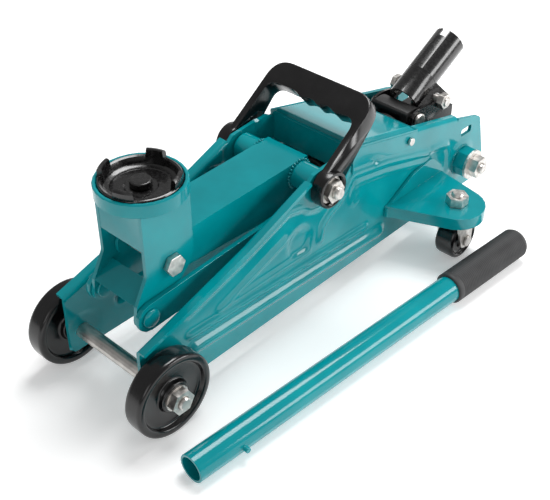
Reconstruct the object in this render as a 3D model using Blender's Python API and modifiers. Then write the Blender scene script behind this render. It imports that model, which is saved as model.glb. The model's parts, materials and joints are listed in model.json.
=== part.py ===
"""Hydraulic trolley jack with its loose handle bar, as separate parts on real joint axes.

Numbers are millimetres in the jack's own layout: X across, Y from the front axle to the rear, Z up from
the floor. Meshes are made in metres, and an empty moves the whole layout so that the world origin is the
middle of the footprint on the floor. Left is -X and right is +X.
"""

import math

import bmesh
import bpy
from mathutils import Matrix, Vector

MM = 0.001
SIDES = (("left", -1), ("right", 1))

# Clearances
GAP = 0.3  # between faces that touch
RUN = 0.35  # round a shaft that turns or passes through
CUT = 1.0  # how far a cutter runs past the face it cuts

# Frame plates
PLATE_INNER = 38.5
PLATE_T = 3.0
PLATE_BOTTOM = 17.0
PLATE_NOSE = 12.0  # ahead of the axle
NOSE_OVER_WHEEL = 3.0  # the rolled edge passes this far over the front wheels
PLATE_SHOULDER = (89.0, 99.5)
PLATE_CREST = (160.0, 127.0)
PLATE_TAIL = 37.5  # behind the rear bolt
PLATE_TAIL_TOP = 82.0
FLANGE_W = 8.5
FLANGE_NOSE_W = 4.0
REAR_FLANGE_W = 6.5
FLANGE_STEP = 0.15  # below the plate's edge
SLOT_L, SLOT_W = 15.0, 7.0

# Front axle and wheels
AXLE_R = 6.0
WHEEL_R = 33.0
WHEEL_W = 16.0
WHEEL_GAP = 4.1
HUB_R = 10.0

# Lift arm: its shaft, the carrier bolt ahead of it and the lever pin below it
SHAFT_R = 6.0
SHAFT_Y, SHAFT_Z = 169.0, 114.5
ARM_REACH, ARM_DROP = 132.0, 7.1
ARM_HALF = 20.0
ARM_T = 3.0
ARM_TOP = 11.5  # above the shaft's centre
ARM_FRONT_TOP = 15.3  # above the carrier bolt's centre
ARM_NOSE_R = 13.0
SPACER_R = 11.0
LEVER_R = 38.0
LEVER_ANGLE = 22.75  # degrees rearward of straight down
ARM_LOWEST = 16.5  # degrees the arm sinks from rest
LEVER_PIN_R = 5.0
LEVER_END_R = 9.0

# Saddle carrier and tie rods
CARRIER_GAP = 0.8
CARRIER_T = 3.0
LINK_BACK, LINK_BELOW = 25.6, 30.0  # tie rod pins, from the carrier bolt
CARRIER_BOLT_R = 5.5
CARRIER_FRONT = 22.5  # front face, ahead of the carrier bolt
CARRIER_REAR = 20.0
RING_R = 32.0
RING_WALL = 2.7
RING_H = 10.8
RING_RISE = 47.8  # ring's lower edge above the carrier bolt
TIE_T = 3.9
TIE_HALF_H = 11.2
TIE_PIN_R = 5.0
STUD_R = 6.0

# Saddle
SADDLE_LUGS = 4
SADDLE_LUG_TURN = 26.0
SADDLE_LUG_H = 5.8
BUTTON_R = 7.8
STEM_R = 6.5
SADDLE_SCREW_R = 3.6

# Power unit
CYLINDER_R = 20.0
CYLINDER_FRONT = 38.0  # behind the shaft
RAM_R = 9.0
BLOCK_HALF = 18.0
BLOCK_FRONT = 137.0  # behind the shaft
BLOCK_L = 69.0
BLOCK_BOTTOM = 26.0
BLOCK_TOP = 88.0
REAR_BOLT_R = 5.0
REAR_BOLT_Z = 48.7
PLUNGER_R = 5.5
PLUNGER_Z = 96.8
VALVE_R = 4.0
VALVE_Z = 66.0
SPRING_R, SPRING_WIRE = 4.6, 0.8
SPRING_TURNS = 9
SPRING_X, SPRING_Z = 8.5, 49.0

# Pump socket
SOCKET_R, SOCKET_WALL = 14.0, 2.0
SOCKET_TILT = 28.6  # degrees above level
SOCKET_PIN = (317.0, 98.0)
SOCKET_PIN_R = 4.0
ROLLER_AT = (31.0, 7.0)  # from the socket pin
ROLLER_R = 7.0
ROLLER_HALF = 7.5
SOCKET_BOLT_R = 4.0
SOCKET_START, SOCKET_END = 10.8, 81.0  # along the tube, from the socket pin
SOCKET_LIFT = 3.2  # the tube's centre line above the socket pin
EAR_HALF = 21.0

# Cover
COVER_FRONT = (205.0, 130.7)
COVER_REAR = (287.0, 110.5)
COVER_T = 1.6
COVER_FLAP = 17.0
COVER_LIP = 26.0
COVER_SCREW_R = 1.8

# Rear casters
EAR_TOP = 53.0
EAR_T = 2.8
EAR_LIP = 10.5
EAR_END_R = 23.8
EAR_FROM, EAR_TO = 251.0, 327.0
STEM_X, STEM_Y = 82.7, 294.8
CASTER_STEM_R = 5.0
CASTER_R = 18.0
CASTER_W = 17.6
CASTER_TRAIL = 4.2
FORK_T = 2.0
CASTER_AXLE_R = 3.0

WINDOW_HALF = 11.0  # the recess in the block's front, behind the plunger

# Carrying handle
BOSS_R = 14.5
BOSS_W = 10.9
HANDLE_LEAN = 49.0  # degrees rearward of straight up
HANDLE_REACH = 74.0
GRIP_H = 21.0
LEG_W = 5.6  # across the jack
LEG_DEPTH = 27.0  # at the shaft
GRIP_THIN = 0.42  # the grip's depth at its top, of the legs' at the shaft
HANDLE_FOOT = 5.0  # where the legs leave the bosses
SCALLOPS, SCALLOP = 4, 16.5
FIRST_RIDGE = 24.0
NUT_SEAT = 5.5  # depth of the recess round the shaft's nut

# Loose handle bar
BAR_R, BAR_WALL = 11.0, 2.0
BAR_FROM = (99.7, -24.0)
BAR_TO = (123.0, 331.0)
BAR_GRIP_R = 13.0
BAR_GRIP_L = 90.0
PEG_R = 2.2

# What follows from the sizes above
PLATE_OUTER = PLATE_INNER + PLATE_T
PLATE_NOSE_TOP = 2 * WHEEL_R + NOSE_OVER_WHEEL
WHEEL_INNER = PLATE_OUTER + WHEEL_GAP
BOLT_Y, BOLT_Z = SHAFT_Y - ARM_REACH, SHAFT_Z - ARM_DROP
TIE_Y, TIE_Z = BOLT_Y - LINK_BACK, BOLT_Z - LINK_BELOW
STUD_Y, STUD_Z = SHAFT_Y - LINK_BACK, SHAFT_Z - LINK_BELOW
LEVER_Y = SHAFT_Y + LEVER_R * math.sin(math.radians(LEVER_ANGLE))
LEVER_Z = SHAFT_Z - LEVER_R * math.cos(math.radians(LEVER_ANGLE))
LEVER_LOW = SHAFT_Z - LEVER_R  # the lever pin's lowest point
LEVER_SIDE = math.radians(LEVER_ANGLE + ARM_LOWEST)
LEVER_HIGH = SHAFT_Z - LEVER_R * math.cos(LEVER_SIDE)
RAM_Z = (LEVER_LOW + LEVER_HIGH) / 2
REAR_BOLT_Y = SHAFT_Y + BLOCK_FRONT + BLOCK_L - 16.2
BLOCK_Y = SHAFT_Y + BLOCK_FRONT
BLOCK_END = BLOCK_Y + BLOCK_L
CARRIER_INNER = ARM_HALF + CARRIER_GAP
CARRIER_OUTER = CARRIER_INNER + CARRIER_T
TIE_INNER = CARRIER_OUTER + GAP
TIE_OUTER = TIE_INNER + TIE_T
RING_Z = BOLT_Z + RING_RISE
RING_TOP = RING_Z + RING_H
SADDLE_Y = BOLT_Y - 1.0
ROLLER_Y, ROLLER_Z = SOCKET_PIN[0] + ROLLER_AT[0], SOCKET_PIN[1] + ROLLER_AT[1]
BOSS_INNER = PLATE_OUTER + COVER_T + 2 * GAP
COVER_SLOPE = (COVER_FRONT[1] - COVER_REAR[1]) / (COVER_REAR[0] - COVER_FRONT[0])

PAINT = ("teal_enamel", (0.0, 0.232, 0.245), 0.25, 0.0)
BLACK_PAINT = ("black_enamel", (0.012, 0.012, 0.013), 0.25, 0.0)
PLASTIC = ("black_plastic", (0.016, 0.015, 0.016), 0.45, 0.0)
RUBBER = ("grip_rubber", (0.045, 0.045, 0.045), 0.7, 0.0)
ZINC = ("zinc_plate", (0.49, 0.47, 0.45), 0.35, 1.0)
STEEL = ("bright_steel", (0.5, 0.5, 0.5), 0.25, 1.0)
CAST = ("cast_iron", (0.03, 0.03, 0.032), 0.6, 0.4)


def material(spec):
    """The material of that finish, made the first time it is asked for."""
    name, colour, roughness, metallic = spec
    found = bpy.data.materials.get(name)
    if found:
        return found
    made = bpy.data.materials.new(name)
    made.use_nodes = True
    shader = made.node_tree.nodes["Principled BSDF"]
    shader.inputs["Base Color"].default_value = (*colour, 1)
    shader.inputs["Roughness"].default_value = roughness
    shader.inputs["Metallic"].default_value = metallic
    return made


def clear_scene():
    for obj in list(bpy.data.objects):
        bpy.data.objects.remove(obj, do_unlink=True)


def collection(name):
    made = bpy.data.collections.new(name)
    bpy.context.scene.collection.children.link(made)
    return made


def new_object(name, mesh, body=None, spec=None):
    """A part of a body, or a helper that is never rendered where body is None."""
    obj = bpy.data.objects.new(name, mesh)
    if body is None:
        TOOLS.objects.link(obj)
        obj.hide_render = True
        obj.display_type = "WIRE"
        obj.parent = BODIES["frame"]
        return obj
    PARTS.objects.link(obj)
    obj.parent = BODIES[body]
    obj.location = -BODIES[body].location if body != "frame" else Vector()
    mesh.materials.append(material(spec))
    return obj


def joint_empty(name, point=None):
    empty = bpy.data.objects.new(name + "_axis", None)
    PARTS.objects.link(empty)
    if point is not None:
        empty.parent = BODIES["frame"]
        empty.location = Vector(point) * MM
    BODIES[name] = empty


def to_mesh(name, bm, smooth=30.0):
    """The bmesh as a mesh in metres, shaded smooth below that angle."""
    bmesh.ops.recalc_face_normals(bm, faces=bm.faces)
    bmesh.ops.scale(bm, vec=Vector((MM, MM, MM)), verts=bm.verts)
    mesh = bpy.data.meshes.new(name)
    bm.to_mesh(mesh)
    bm.free()
    mesh.shade_smooth()
    mesh.set_sharp_from_angle(angle=math.radians(smooth))
    return mesh


AXIS_TURN = {
    "x": Matrix.Rotation(math.radians(90), 4, "Y"),
    "y": Matrix.Rotation(math.radians(-90), 4, "X"),
    "z": Matrix.Identity(4),
}


def rod_mesh(name, radius, start, end, axis="x", at=(0, 0), segments=16):
    """A cylinder from start to end along an axis; at holds the other two coordinates in X, Y, Z order."""
    bm = bmesh.new()
    bmesh.ops.create_cone(
        bm,
        cap_ends=True,
        segments=segments,
        radius1=radius,
        radius2=radius,
        depth=end - start,
    )
    middle = (start + end) / 2
    centre = {
        "x": (middle, at[0], at[1]),
        "y": (at[0], middle, at[1]),
        "z": (at[0], at[1], middle),
    }[axis]
    bmesh.ops.transform(bm, matrix=Matrix.Translation(centre) @ AXIS_TURN[axis], verts=bm.verts)
    return to_mesh(name, bm)


def box_mesh(name, low, high, turn=None, about=(0, 0, 0)):
    """A box between two corners, turned in the YZ plane about a point where turn gives degrees."""
    bm = bmesh.new()
    bmesh.ops.create_cube(bm, size=1.0)
    size = [b - a for a, b in zip(low, high)]
    centre = [(a + b) / 2 for a, b in zip(low, high)]
    bmesh.ops.scale(bm, vec=Vector(size), verts=bm.verts)
    bmesh.ops.translate(bm, vec=Vector(centre), verts=bm.verts)
    if turn is not None:
        spin = Matrix.Rotation(math.radians(turn), 4, "X")
        place = Matrix.Translation(about)
        bmesh.ops.transform(bm, matrix=place @ spin @ place.inverted(), verts=bm.verts)
    return to_mesh(name, bm)


def turned_mesh(name, profile, centre, axis="z", segments=20, flip=False):
    """A profile of (radius, height) points spun round an axis through centre. It starts and ends on the
    axis for a solid, or closes on itself for a ring; flip points it down the axis."""
    bm = bmesh.new()
    sign = -1 if flip else 1
    verts = [bm.verts.new((r, 0, sign * h)) for r, h in profile]
    for a, b in zip(verts, verts[1:]):
        bm.edges.new((a, b))
    if profile[0][0] > 0:
        bm.edges.new((verts[-1], verts[0]))
    bmesh.ops.spin(
        bm,
        geom=bm.verts[:] + bm.edges[:],
        axis=(0, 0, 1),
        cent=(0, 0, 0),
        angle=math.tau,
        steps=segments,
        use_merge=True,
    )
    bmesh.ops.remove_doubles(bm, verts=bm.verts, dist=1e-4)
    bmesh.ops.transform(bm, matrix=Matrix.Translation(centre) @ AXIS_TURN[axis], verts=bm.verts)
    return to_mesh(name, bm)


def rounded(corners, step=30):
    """An outline from (u, v, radius) corners, with an arc of about one point per step degrees in each."""
    points = []
    count = len(corners)
    for i, (u, v, radius) in enumerate(corners):
        here = Vector((u, v))
        if radius <= 0:
            points.append(here)
            continue
        before = (Vector(corners[i - 1][:2]) - here).normalized()
        after = (Vector(corners[(i + 1) % count][:2]) - here).normalized()
        if (before + after).length < 1e-6:
            points.append(here)
            continue
        half = before.angle(after) / 2
        centre = here + (before + after).normalized() * (radius / math.sin(half))
        first = here + before * (radius / math.tan(half)) - centre
        last = here + after * (radius / math.tan(half)) - centre
        sweep = first.angle_signed(last)
        steps = max(2, round(abs(math.degrees(sweep)) / step))
        for k in range(steps + 1):
            points.append(centre + Matrix.Rotation(-sweep * k / steps, 2) @ first)
    return [tuple(p) for p in points]


def circle(u, v, radius, segments=16):
    turn = math.tau / segments
    return [(u + radius * math.cos(turn * k), v + radius * math.sin(turn * k)) for k in range(segments)]


def slab_mesh(name, outline, start, end, holes=(), axis="x"):
    """A flat outline with holes, filled as a 2D curve and extruded from start to end along X, or along Z.
    The outline is in Y and Z for axis x, and in X and Y for axis z."""
    curve = bpy.data.curves.new(name, "CURVE")
    curve.dimensions = "2D"
    curve.fill_mode = "BOTH"
    curve.extrude = (end - start) / 2
    for loop in (outline, *holes):
        spline = curve.splines.new("POLY")
        spline.points.add(len(loop) - 1)
        for point, (u, v) in zip(spline.points, loop):
            point.co = (u, v, 0, 1)
        spline.use_cyclic_u = True
    guide = bpy.data.objects.new(name, curve)
    TOOLS.objects.link(guide)
    bpy.context.view_layer.update()
    graph = bpy.context.evaluated_depsgraph_get()
    filled = bpy.data.meshes.new_from_object(guide.evaluated_get(graph))
    bpy.data.objects.remove(guide)
    bpy.data.curves.remove(curve)
    bm = bmesh.new()
    bm.from_mesh(filled)
    bpy.data.meshes.remove(filled)
    bmesh.ops.remove_doubles(bm, verts=bm.verts, dist=1e-4)
    middle = (start + end) / 2
    if axis == "x":
        turn = Matrix(((0, 0, 1, middle), (1, 0, 0, 0), (0, 1, 0, 0), (0, 0, 0, 1)))
    else:
        turn = Matrix.Translation((0, 0, middle))
    bmesh.ops.transform(bm, matrix=turn, verts=bm.verts)
    return to_mesh(name, bm)


def boolean(obj, operation, mesh):
    """Adds a Boolean with that mesh, kept as a hidden helper."""
    helper = new_object(f"{obj.name}_{operation.lower()}_{len(obj.modifiers)}", mesh)
    modifier = obj.modifiers.new(operation.title(), "BOOLEAN")
    modifier.operation = operation
    modifier.object = helper
    modifier.solver = "EXACT"
    return obj


def cut(obj, mesh):
    return boolean(obj, "DIFFERENCE", mesh)


def join(obj, mesh):
    return boolean(obj, "UNION", mesh)


def span(side, inner, outer):
    """The X limits of a piece that lies from inner to outer on one side."""
    return (inner, outer) if side > 0 else (-outer, -inner)


def cover_z(y):
    """Height of the cover's top face, which slopes down to the rear."""
    return COVER_FRONT[1] - (y - COVER_FRONT[0]) * COVER_SLOPE


def plate_outline():
    tail = REAR_BOLT_Y + PLATE_TAIL
    under = COVER_T + 2 * GAP
    return rounded(
        [
            (-PLATE_NOSE, PLATE_BOTTOM, 6),
            (-PLATE_NOSE, PLATE_NOSE_TOP, 0),
            (*PLATE_SHOULDER, 0),
            (*PLATE_CREST, 0),
            (COVER_FRONT[0] - 8, cover_z(COVER_FRONT[0] - 8) - under, 0),
            (tail - 46, cover_z(tail - 46) - under, 0),
            (tail - 12, PLATE_TAIL_TOP, 9),
            (tail, REAR_BOLT_Z - 12, 0),
            (tail - 3, PLATE_BOTTOM, 7),
        ]
    )


def make_side_plate(name, side):
    """A pressed plate: its front edge is rolled outward, and the edge under the cover inward."""
    tail = REAR_BOLT_Y + PLATE_TAIL
    slot_y, slot_z = tail - 32, PLATE_TAIL_TOP - 7
    slot = rounded(
        [
            (slot_y - SLOT_L / 2, slot_z - SLOT_W / 2, 2),
            (slot_y + SLOT_L / 2, slot_z - SLOT_W / 2, 2),
            (slot_y + SLOT_L / 2, slot_z + SLOT_W / 2, 2),
            (slot_y - SLOT_L / 2, slot_z + SLOT_W / 2, 2),
        ],
        step=45,
    )
    holes = [
        circle(0, WHEEL_R, AXLE_R + RUN),
        circle(SHAFT_Y, SHAFT_Z, SHAFT_R + RUN),
        circle(REAR_BOLT_Y, REAR_BOLT_Z, REAR_BOLT_R + RUN),
        circle(*cover_screw_at(), COVER_SCREW_R + RUN, 12),
        slot,
    ]
    low, high = span(side, PLATE_INNER, PLATE_OUTER)
    plate = new_object(name, slab_mesh(name, plate_outline(), low, high, holes), "frame", PAINT)
    front = [(-PLATE_NOSE, PLATE_NOSE_TOP), PLATE_SHOULDER, flange_end()]
    widths = [FLANGE_NOSE_W, FLANGE_W, FLANGE_W]
    join(plate, flange_mesh(name, front, widths, side, PLATE_OUTER - 1, 1))
    rear_start = COVER_FRONT[0] + 4
    rear = [(y, cover_z(y) - COVER_T - 2 * GAP) for y in (rear_start, tail - 47)]
    join(plate, flange_mesh(name, rear, [REAR_FLANGE_W] * 2, side, PLATE_INNER + 1, -1))
    return plate


def flange_end():
    """The front flange stops clear of the carrying handle's boss."""
    (y0, z0), (y1, z1) = PLATE_SHOULDER, PLATE_CREST
    run = math.hypot(y1 - y0, z1 - z0)
    along = Vector(((y1 - y0) / run, (z1 - z0) / run))
    foot = (Vector((SHAFT_Y, SHAFT_Z)) - Vector((y0, z0))).dot(along)
    off = abs((Vector((SHAFT_Y, SHAFT_Z)) - Vector((y0, z0))).cross(along)) - PLATE_T
    back = math.sqrt(max((BOSS_R + 2) ** 2 - off**2, 1))
    return tuple(Vector((y0, z0)) + along * (foot - back))


def flange_mesh(name, line, widths, side, root, way):
    """A strip along a line in YZ that stands out from the plate's face; way is 1 outward, -1 inward."""
    bm = bmesh.new()
    rows = []
    for i, ((y, z), width) in enumerate(zip(line, widths)):
        before, after = Vector(line[max(i - 1, 0)]), Vector(line[min(i + 1, len(line) - 1)])
        down = Vector((after - before)).orthogonal().normalized()
        down = down if down.y < 0 else -down
        edge = (PLATE_OUTER if way > 0 else PLATE_INNER) + way * width
        top, under = Vector((y, z)) + down * FLANGE_STEP, Vector((y, z)) + down * PLATE_T
        rows.append([bm.verts.new((side * x, p.x, p.y)) for x, p in
                     ((root, top), (edge, top), (edge, under), (root, under))])
    for a, b in zip(rows, rows[1:]):
        for k in range(4):
            bm.faces.new((a[k], a[(k + 1) % 4], b[(k + 1) % 4], b[k]))
    bm.faces.new(rows[0])
    bm.faces.new(rows[-1])
    return to_mesh(name, bm)


def cover_screw_at():
    y = COVER_REAR[0] - 10
    return y, cover_z(y) - 9.0


def make_cover():
    """Sloping sheet over the power unit, with side flaps outside the plates and a lip down in front."""
    outer = PLATE_OUTER + GAP + COVER_T
    (y0, z0), (y1, z1) = COVER_FRONT, COVER_REAR
    bm = bmesh.new()
    ring = [(-outer, y0), (outer, y0), (outer, y1), (-outer, y1)]
    top = bm.faces.new([bm.verts.new((x, y, cover_z(y))) for x, y in ring])
    edges = list(top.edges)
    for edge in edges:
        xs = [v.co.x for v in edge.verts]
        ys = [v.co.y for v in edge.verts]
        if abs(xs[0] - xs[1]) < 1:
            grown = bmesh.ops.extrude_edge_only(bm, edges=[edge])["geom"]
            fresh = [g for g in grown if isinstance(g, bmesh.types.BMVert)]
            bmesh.ops.translate(bm, vec=Vector((0, 0, -COVER_FLAP)), verts=fresh)
    mesh = to_mesh("top_cover", bm)
    cover = new_object("top_cover", mesh, "frame", PAINT)
    shell = cover.modifiers.new("Solidify", "SOLIDIFY")
    shell.thickness = COVER_T * MM
    shell.offset = -1
    shell.use_even_offset = True
    inner = PLATE_INNER - GAP - 0.4
    join(cover, box_mesh("lip", (-inner, y0, z0 - COVER_LIP), (inner, y0 + COVER_T, z0 - COVER_T / 2)))
    slope = math.degrees(math.atan(COVER_SLOPE))
    middle = (y0 + y1) / 2
    panel_low = cover_z(middle) - COVER_T / 2
    panel = box_mesh("panel", (-outer + 12, y0 + 12, panel_low), (outer - 12, y1 - 12, panel_low + 2.2),
                     -slope, (0, middle, panel_low))
    join(cover, panel)
    y, z = cover_screw_at()
    cut(cover, rod_mesh("hole", COVER_SCREW_R + RUN, -outer - CUT, outer + CUT, at=(y, z), segments=12))
    for side_name, side in SIDES:
        low, high = span(side, PLATE_INNER - 2, outer + GAP)
        screw = new_object(
            f"cover_screw_{side_name}",
            rod_mesh("screw", COVER_SCREW_R, low, high, at=(y, z), segments=12),
            "frame",
            ZINC,
        )
        low, high = span(side, outer + GAP, outer + GAP + 2.2)
        join(screw, rod_mesh("head", 3.3, low - 0.1, high + 0.1, at=(y, z), segments=16))


def nut_mesh(name, flats, start, end, at, axis="x"):
    return rod_mesh(name, flats / math.sqrt(3), start, end, axis, at, 6)


def make_flange_nut(name, side, at, start, flats, height, flange_r, flange_t, bore, body="frame"):
    """A hexagon nut on a round flange, bored for its thread."""
    low, high = span(side, start, start + flange_t)
    nut = new_object(name, rod_mesh(name, flange_r, low, high, at=at), body, ZINC)
    low, high = span(side, start + flange_t / 2, start + flange_t + height)
    join(nut, nut_mesh("hex", flats, low, high, at))
    low, high = span(side, start - CUT, start + flange_t + height + CUT)
    cut(nut, rod_mesh("bore", bore, low, high, at=at))
    return nut


def threaded_rod(name, radius, half, thread_r, thread_half, at, spec=ZINC, body="frame"):
    """A shaft across the jack with a thinner threaded end at each side, chamfered at the tips."""
    y, z = at
    tip = 1.0
    profile = [
        (0, -thread_half), (thread_r - tip, -thread_half), (thread_r, -thread_half + tip),
        (thread_r, -half), (radius, -half), (radius, half), (thread_r, half),
        (thread_r, thread_half - tip), (thread_r - tip, thread_half), (0, thread_half),
    ]
    return new_object(name, turned_mesh(name, profile, (0, y, z), "x", 16), body, spec)


def make_front_axle():
    hub_out = WHEEL_INNER + WHEEL_W - 1
    threaded_rod("front_axle", AXLE_R, hub_out, AXLE_R - 1, hub_out + 11, (0, WHEEL_R), STEEL)
    for side_name, side in SIDES:
        make_flange_nut(f"front_nut_{side_name}", side, (0, WHEEL_R), hub_out + GAP, 17, 6.5,
                        HUB_R, 1.8, AXLE_R - 1 + GAP)
        make_front_wheel(f"front_wheel_{side_name}", side)


def make_front_wheel(name, side):
    """Solid wheel: rounded tread, a rim lip and a web between recesses, with a hub round the axle."""
    bore = AXLE_R + RUN
    rim = WHEEL_R - 5.5
    web = WHEEL_W * 0.3
    profile = [
        (bore, 0), (HUB_R + 1, 0), (HUB_R + 2, web), (rim, web), (rim + 1, 0), (WHEEL_R - 2, 0),
        (WHEEL_R, 3.5), (WHEEL_R, WHEEL_W - 3.5), (WHEEL_R - 2, WHEEL_W), (rim + 1, WHEEL_W),
        (rim, WHEEL_W - web), (HUB_R + 2, WHEEL_W - web), (HUB_R + 1, WHEEL_W - 1), (bore, WHEEL_W - 1),
    ]
    mesh = turned_mesh(name, profile, (side * WHEEL_INNER, 0, WHEEL_R), "x", 24, flip=side < 0)
    return new_object(name, mesh, name, PLASTIC)


def make_arm_shaft():
    """The lift arm's shaft, which also carries the folding handle outside the plates."""
    seat = BOSS_INNER + BOSS_W - NUT_SEAT
    at = (SHAFT_Y, SHAFT_Z)
    threaded_rod("arm_shaft", SHAFT_R, seat, SHAFT_R - 1, seat + 12, at)
    for side_name, side in SIDES:
        make_flange_nut(f"arm_shaft_nut_{side_name}", side, at, seat + GAP, 16, 6, 11.3, 1.6,
                        SHAFT_R - 1 + GAP)


def make_rear_bolt():
    """Cross bolt through the pump block, with hexagon spacers and flanged nuts outside the plates."""
    at = (REAR_BOLT_Y, REAR_BOLT_Z)
    start = PLATE_OUTER + GAP
    spacer_l = 11.7
    end = start + spacer_l + GAP
    threaded_rod("rear_bolt", REAR_BOLT_R, end, REAR_BOLT_R - 0.4, end + 13.5, at)
    for side_name, side in SIDES:
        low, high = span(side, start, start + spacer_l)
        spacer = new_object(f"rear_spacer_{side_name}", nut_mesh("spacer", 23, low, high, at), "frame", PAINT)
        cut(spacer, rod_mesh("bore", REAR_BOLT_R + RUN, low - CUT, high + CUT, at=at))
        make_flange_nut(f"rear_nut_{side_name}", side, at, end + GAP, 17, 8, 13.5, 2, REAR_BOLT_R)


def make_rear_cross_plate():
    """An angle between the plates' tails, under and behind the pump block."""
    half = PLATE_INNER - GAP
    back = BLOCK_END + 5
    floor = PLATE_BOTTOM + 3
    cross = new_object(
        "rear_cross_plate",
        box_mesh("floor", (-half, BLOCK_Y - 6, floor), (half, back + PLATE_T, floor + PLATE_T)),
        "frame",
        PAINT,
    )
    join(cross, box_mesh("wall", (-half, back, floor + 1), (half, back + PLATE_T, VALVE_Z - 10)))


def tangent_hull(points, centre, radius, segments=24):
    """The convex outline round a circle and some points, in X and Y."""
    cloud = [Vector(p) for p in points] + [Vector(p) for p in circle(*centre, radius, segments)]
    cloud.sort(key=lambda p: (p.x, p.y))

    def chain(ordered):
        kept = []
        for p in ordered:
            while len(kept) > 1 and (kept[-1] - kept[-2]).cross(p - kept[-1]) <= 1e-6:
                kept.pop()
            kept.append(p)
        return kept[:-1]

    return [tuple(p) for p in chain(cloud) + chain(cloud[::-1])]


def make_caster_ear(name, side):
    """A pressed ear outside the plate that holds a caster: a flat top, a turned-down lip and a root web."""
    root = PLATE_OUTER + GAP
    points = [(root, EAR_FROM), (root, EAR_TO)]
    outer = tangent_hull(points, (STEM_X, STEM_Y), EAR_END_R)
    inner = tangent_hull(
        [(root - 5, EAR_FROM + EAR_T * 1.6), (root - 5, EAR_TO - EAR_T * 1.6)],
        (STEM_X, STEM_Y),
        EAR_END_R - EAR_T,
    )
    outer = [(side * x, y) for x, y in outer]
    inner = [(side * x, y) for x, y in inner]
    ear = new_object(name, slab_mesh(name, outer, EAR_TOP - EAR_LIP, EAR_TOP, axis="z"), "frame", PAINT)
    cut(ear, slab_mesh("hollow", inner, EAR_TOP - EAR_LIP - CUT, EAR_TOP - EAR_T, axis="z"))
    low, high = span(side, root, root + EAR_T)
    web = [(EAR_FROM, EAR_TOP - EAR_LIP, 0), (EAR_TO, EAR_TOP - EAR_LIP, 0), (EAR_TO, EAR_TOP + 6, 5),
           (EAR_TO - 16, EAR_TOP + 20, 8), (EAR_TO - 42, EAR_TOP + 16, 8), (EAR_FROM, EAR_TOP - 2, 0)]
    join(ear, slab_mesh("web", rounded(web), low, high))
    cut(ear, rod_mesh("hole", CASTER_STEM_R + RUN, EAR_TOP - 8, EAR_TOP + CUT, "z", (side * STEM_X, STEM_Y)))
    return ear


def make_lift_arm():
    """An inverted channel whose cheeks run down behind the shaft to hold the lever pin."""
    front = ARM_NOSE_R
    behind = SHAFT_Y + 9.5
    cheek = rounded(
        [
            (BOLT_Y - 7, BOLT_Z + ARM_FRONT_TOP, 0),
            (BOLT_Y - front, BOLT_Z + 3, 0),
            (BOLT_Y - front, BOLT_Z - 9, 8),
            (BOLT_Y + front, BOLT_Z - front, 6),
            (STUD_Y - 5, BOLT_Z - 17, 20),
            (LEVER_Y - LEVER_END_R - 2, LEVER_Z - LEVER_END_R, 10),
            (LEVER_Y + LEVER_END_R, LEVER_Z - LEVER_END_R, LEVER_END_R - 0.5),
            (LEVER_Y + LEVER_END_R, LEVER_Z + 8, 5),
            (behind + 3, SHAFT_Z - 6, 6),
            (behind, SHAFT_Z + ARM_TOP, 0),
        ]
    )
    holes = [
        circle(BOLT_Y, BOLT_Z, CARRIER_BOLT_R + RUN),
        circle(SHAFT_Y, SHAFT_Z, SHAFT_R + RUN),
        circle(LEVER_Y, LEVER_Z, LEVER_PIN_R + GAP),
    ]
    mesh = slab_mesh("lift_arm", cheek, ARM_HALF - ARM_T, ARM_HALF, holes)
    arm = new_object("lift_arm", mesh, "arm", PAINT)
    join(arm, slab_mesh("cheek", cheek, -ARM_HALF, ARM_T - ARM_HALF, holes))
    y0, z0, y1, z1 = BOLT_Y - 7, BOLT_Z + ARM_FRONT_TOP, behind, SHAFT_Z + ARM_TOP
    top = [(y0, z0 - ARM_T), (y1 - 0.5, z1 - ARM_T), (y1 - 0.3, z1 - 0.02), (y0 + 0.3, z0 - 0.02)]
    join(arm, slab_mesh("top", top, 0.5 - ARM_HALF, ARM_HALF - 0.5))


def make_lever_pin():
    half = ARM_HALF + GAP
    head = LEVER_PIN_R + 1.8
    profile = [
        (0, -half - 2), (head - 0.6, -half - 2), (head, -half - 1.2), (head, -half), (LEVER_PIN_R, -half),
        (LEVER_PIN_R, half), (head, half), (head, half + 1.2), (head - 0.6, half + 2), (0, half + 2),
    ]
    new_object("lever_pin", turned_mesh("lever_pin", profile, (0, LEVER_Y, LEVER_Z), "x", 16), "arm", STEEL)


def make_arm_spacer(name, side):
    """A tube on the shaft that keeps the arm in the middle."""
    low, high = span(side, ARM_HALF + GAP, PLATE_INNER - GAP)
    at = (SHAFT_Y, SHAFT_Z)
    spacer = new_object(name, rod_mesh(name, SPACER_R, low, high, at=at), "arm", PAINT)
    cut(spacer, rod_mesh("bore", SHAFT_R + RUN, low - CUT, high + CUT, at=at))


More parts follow.
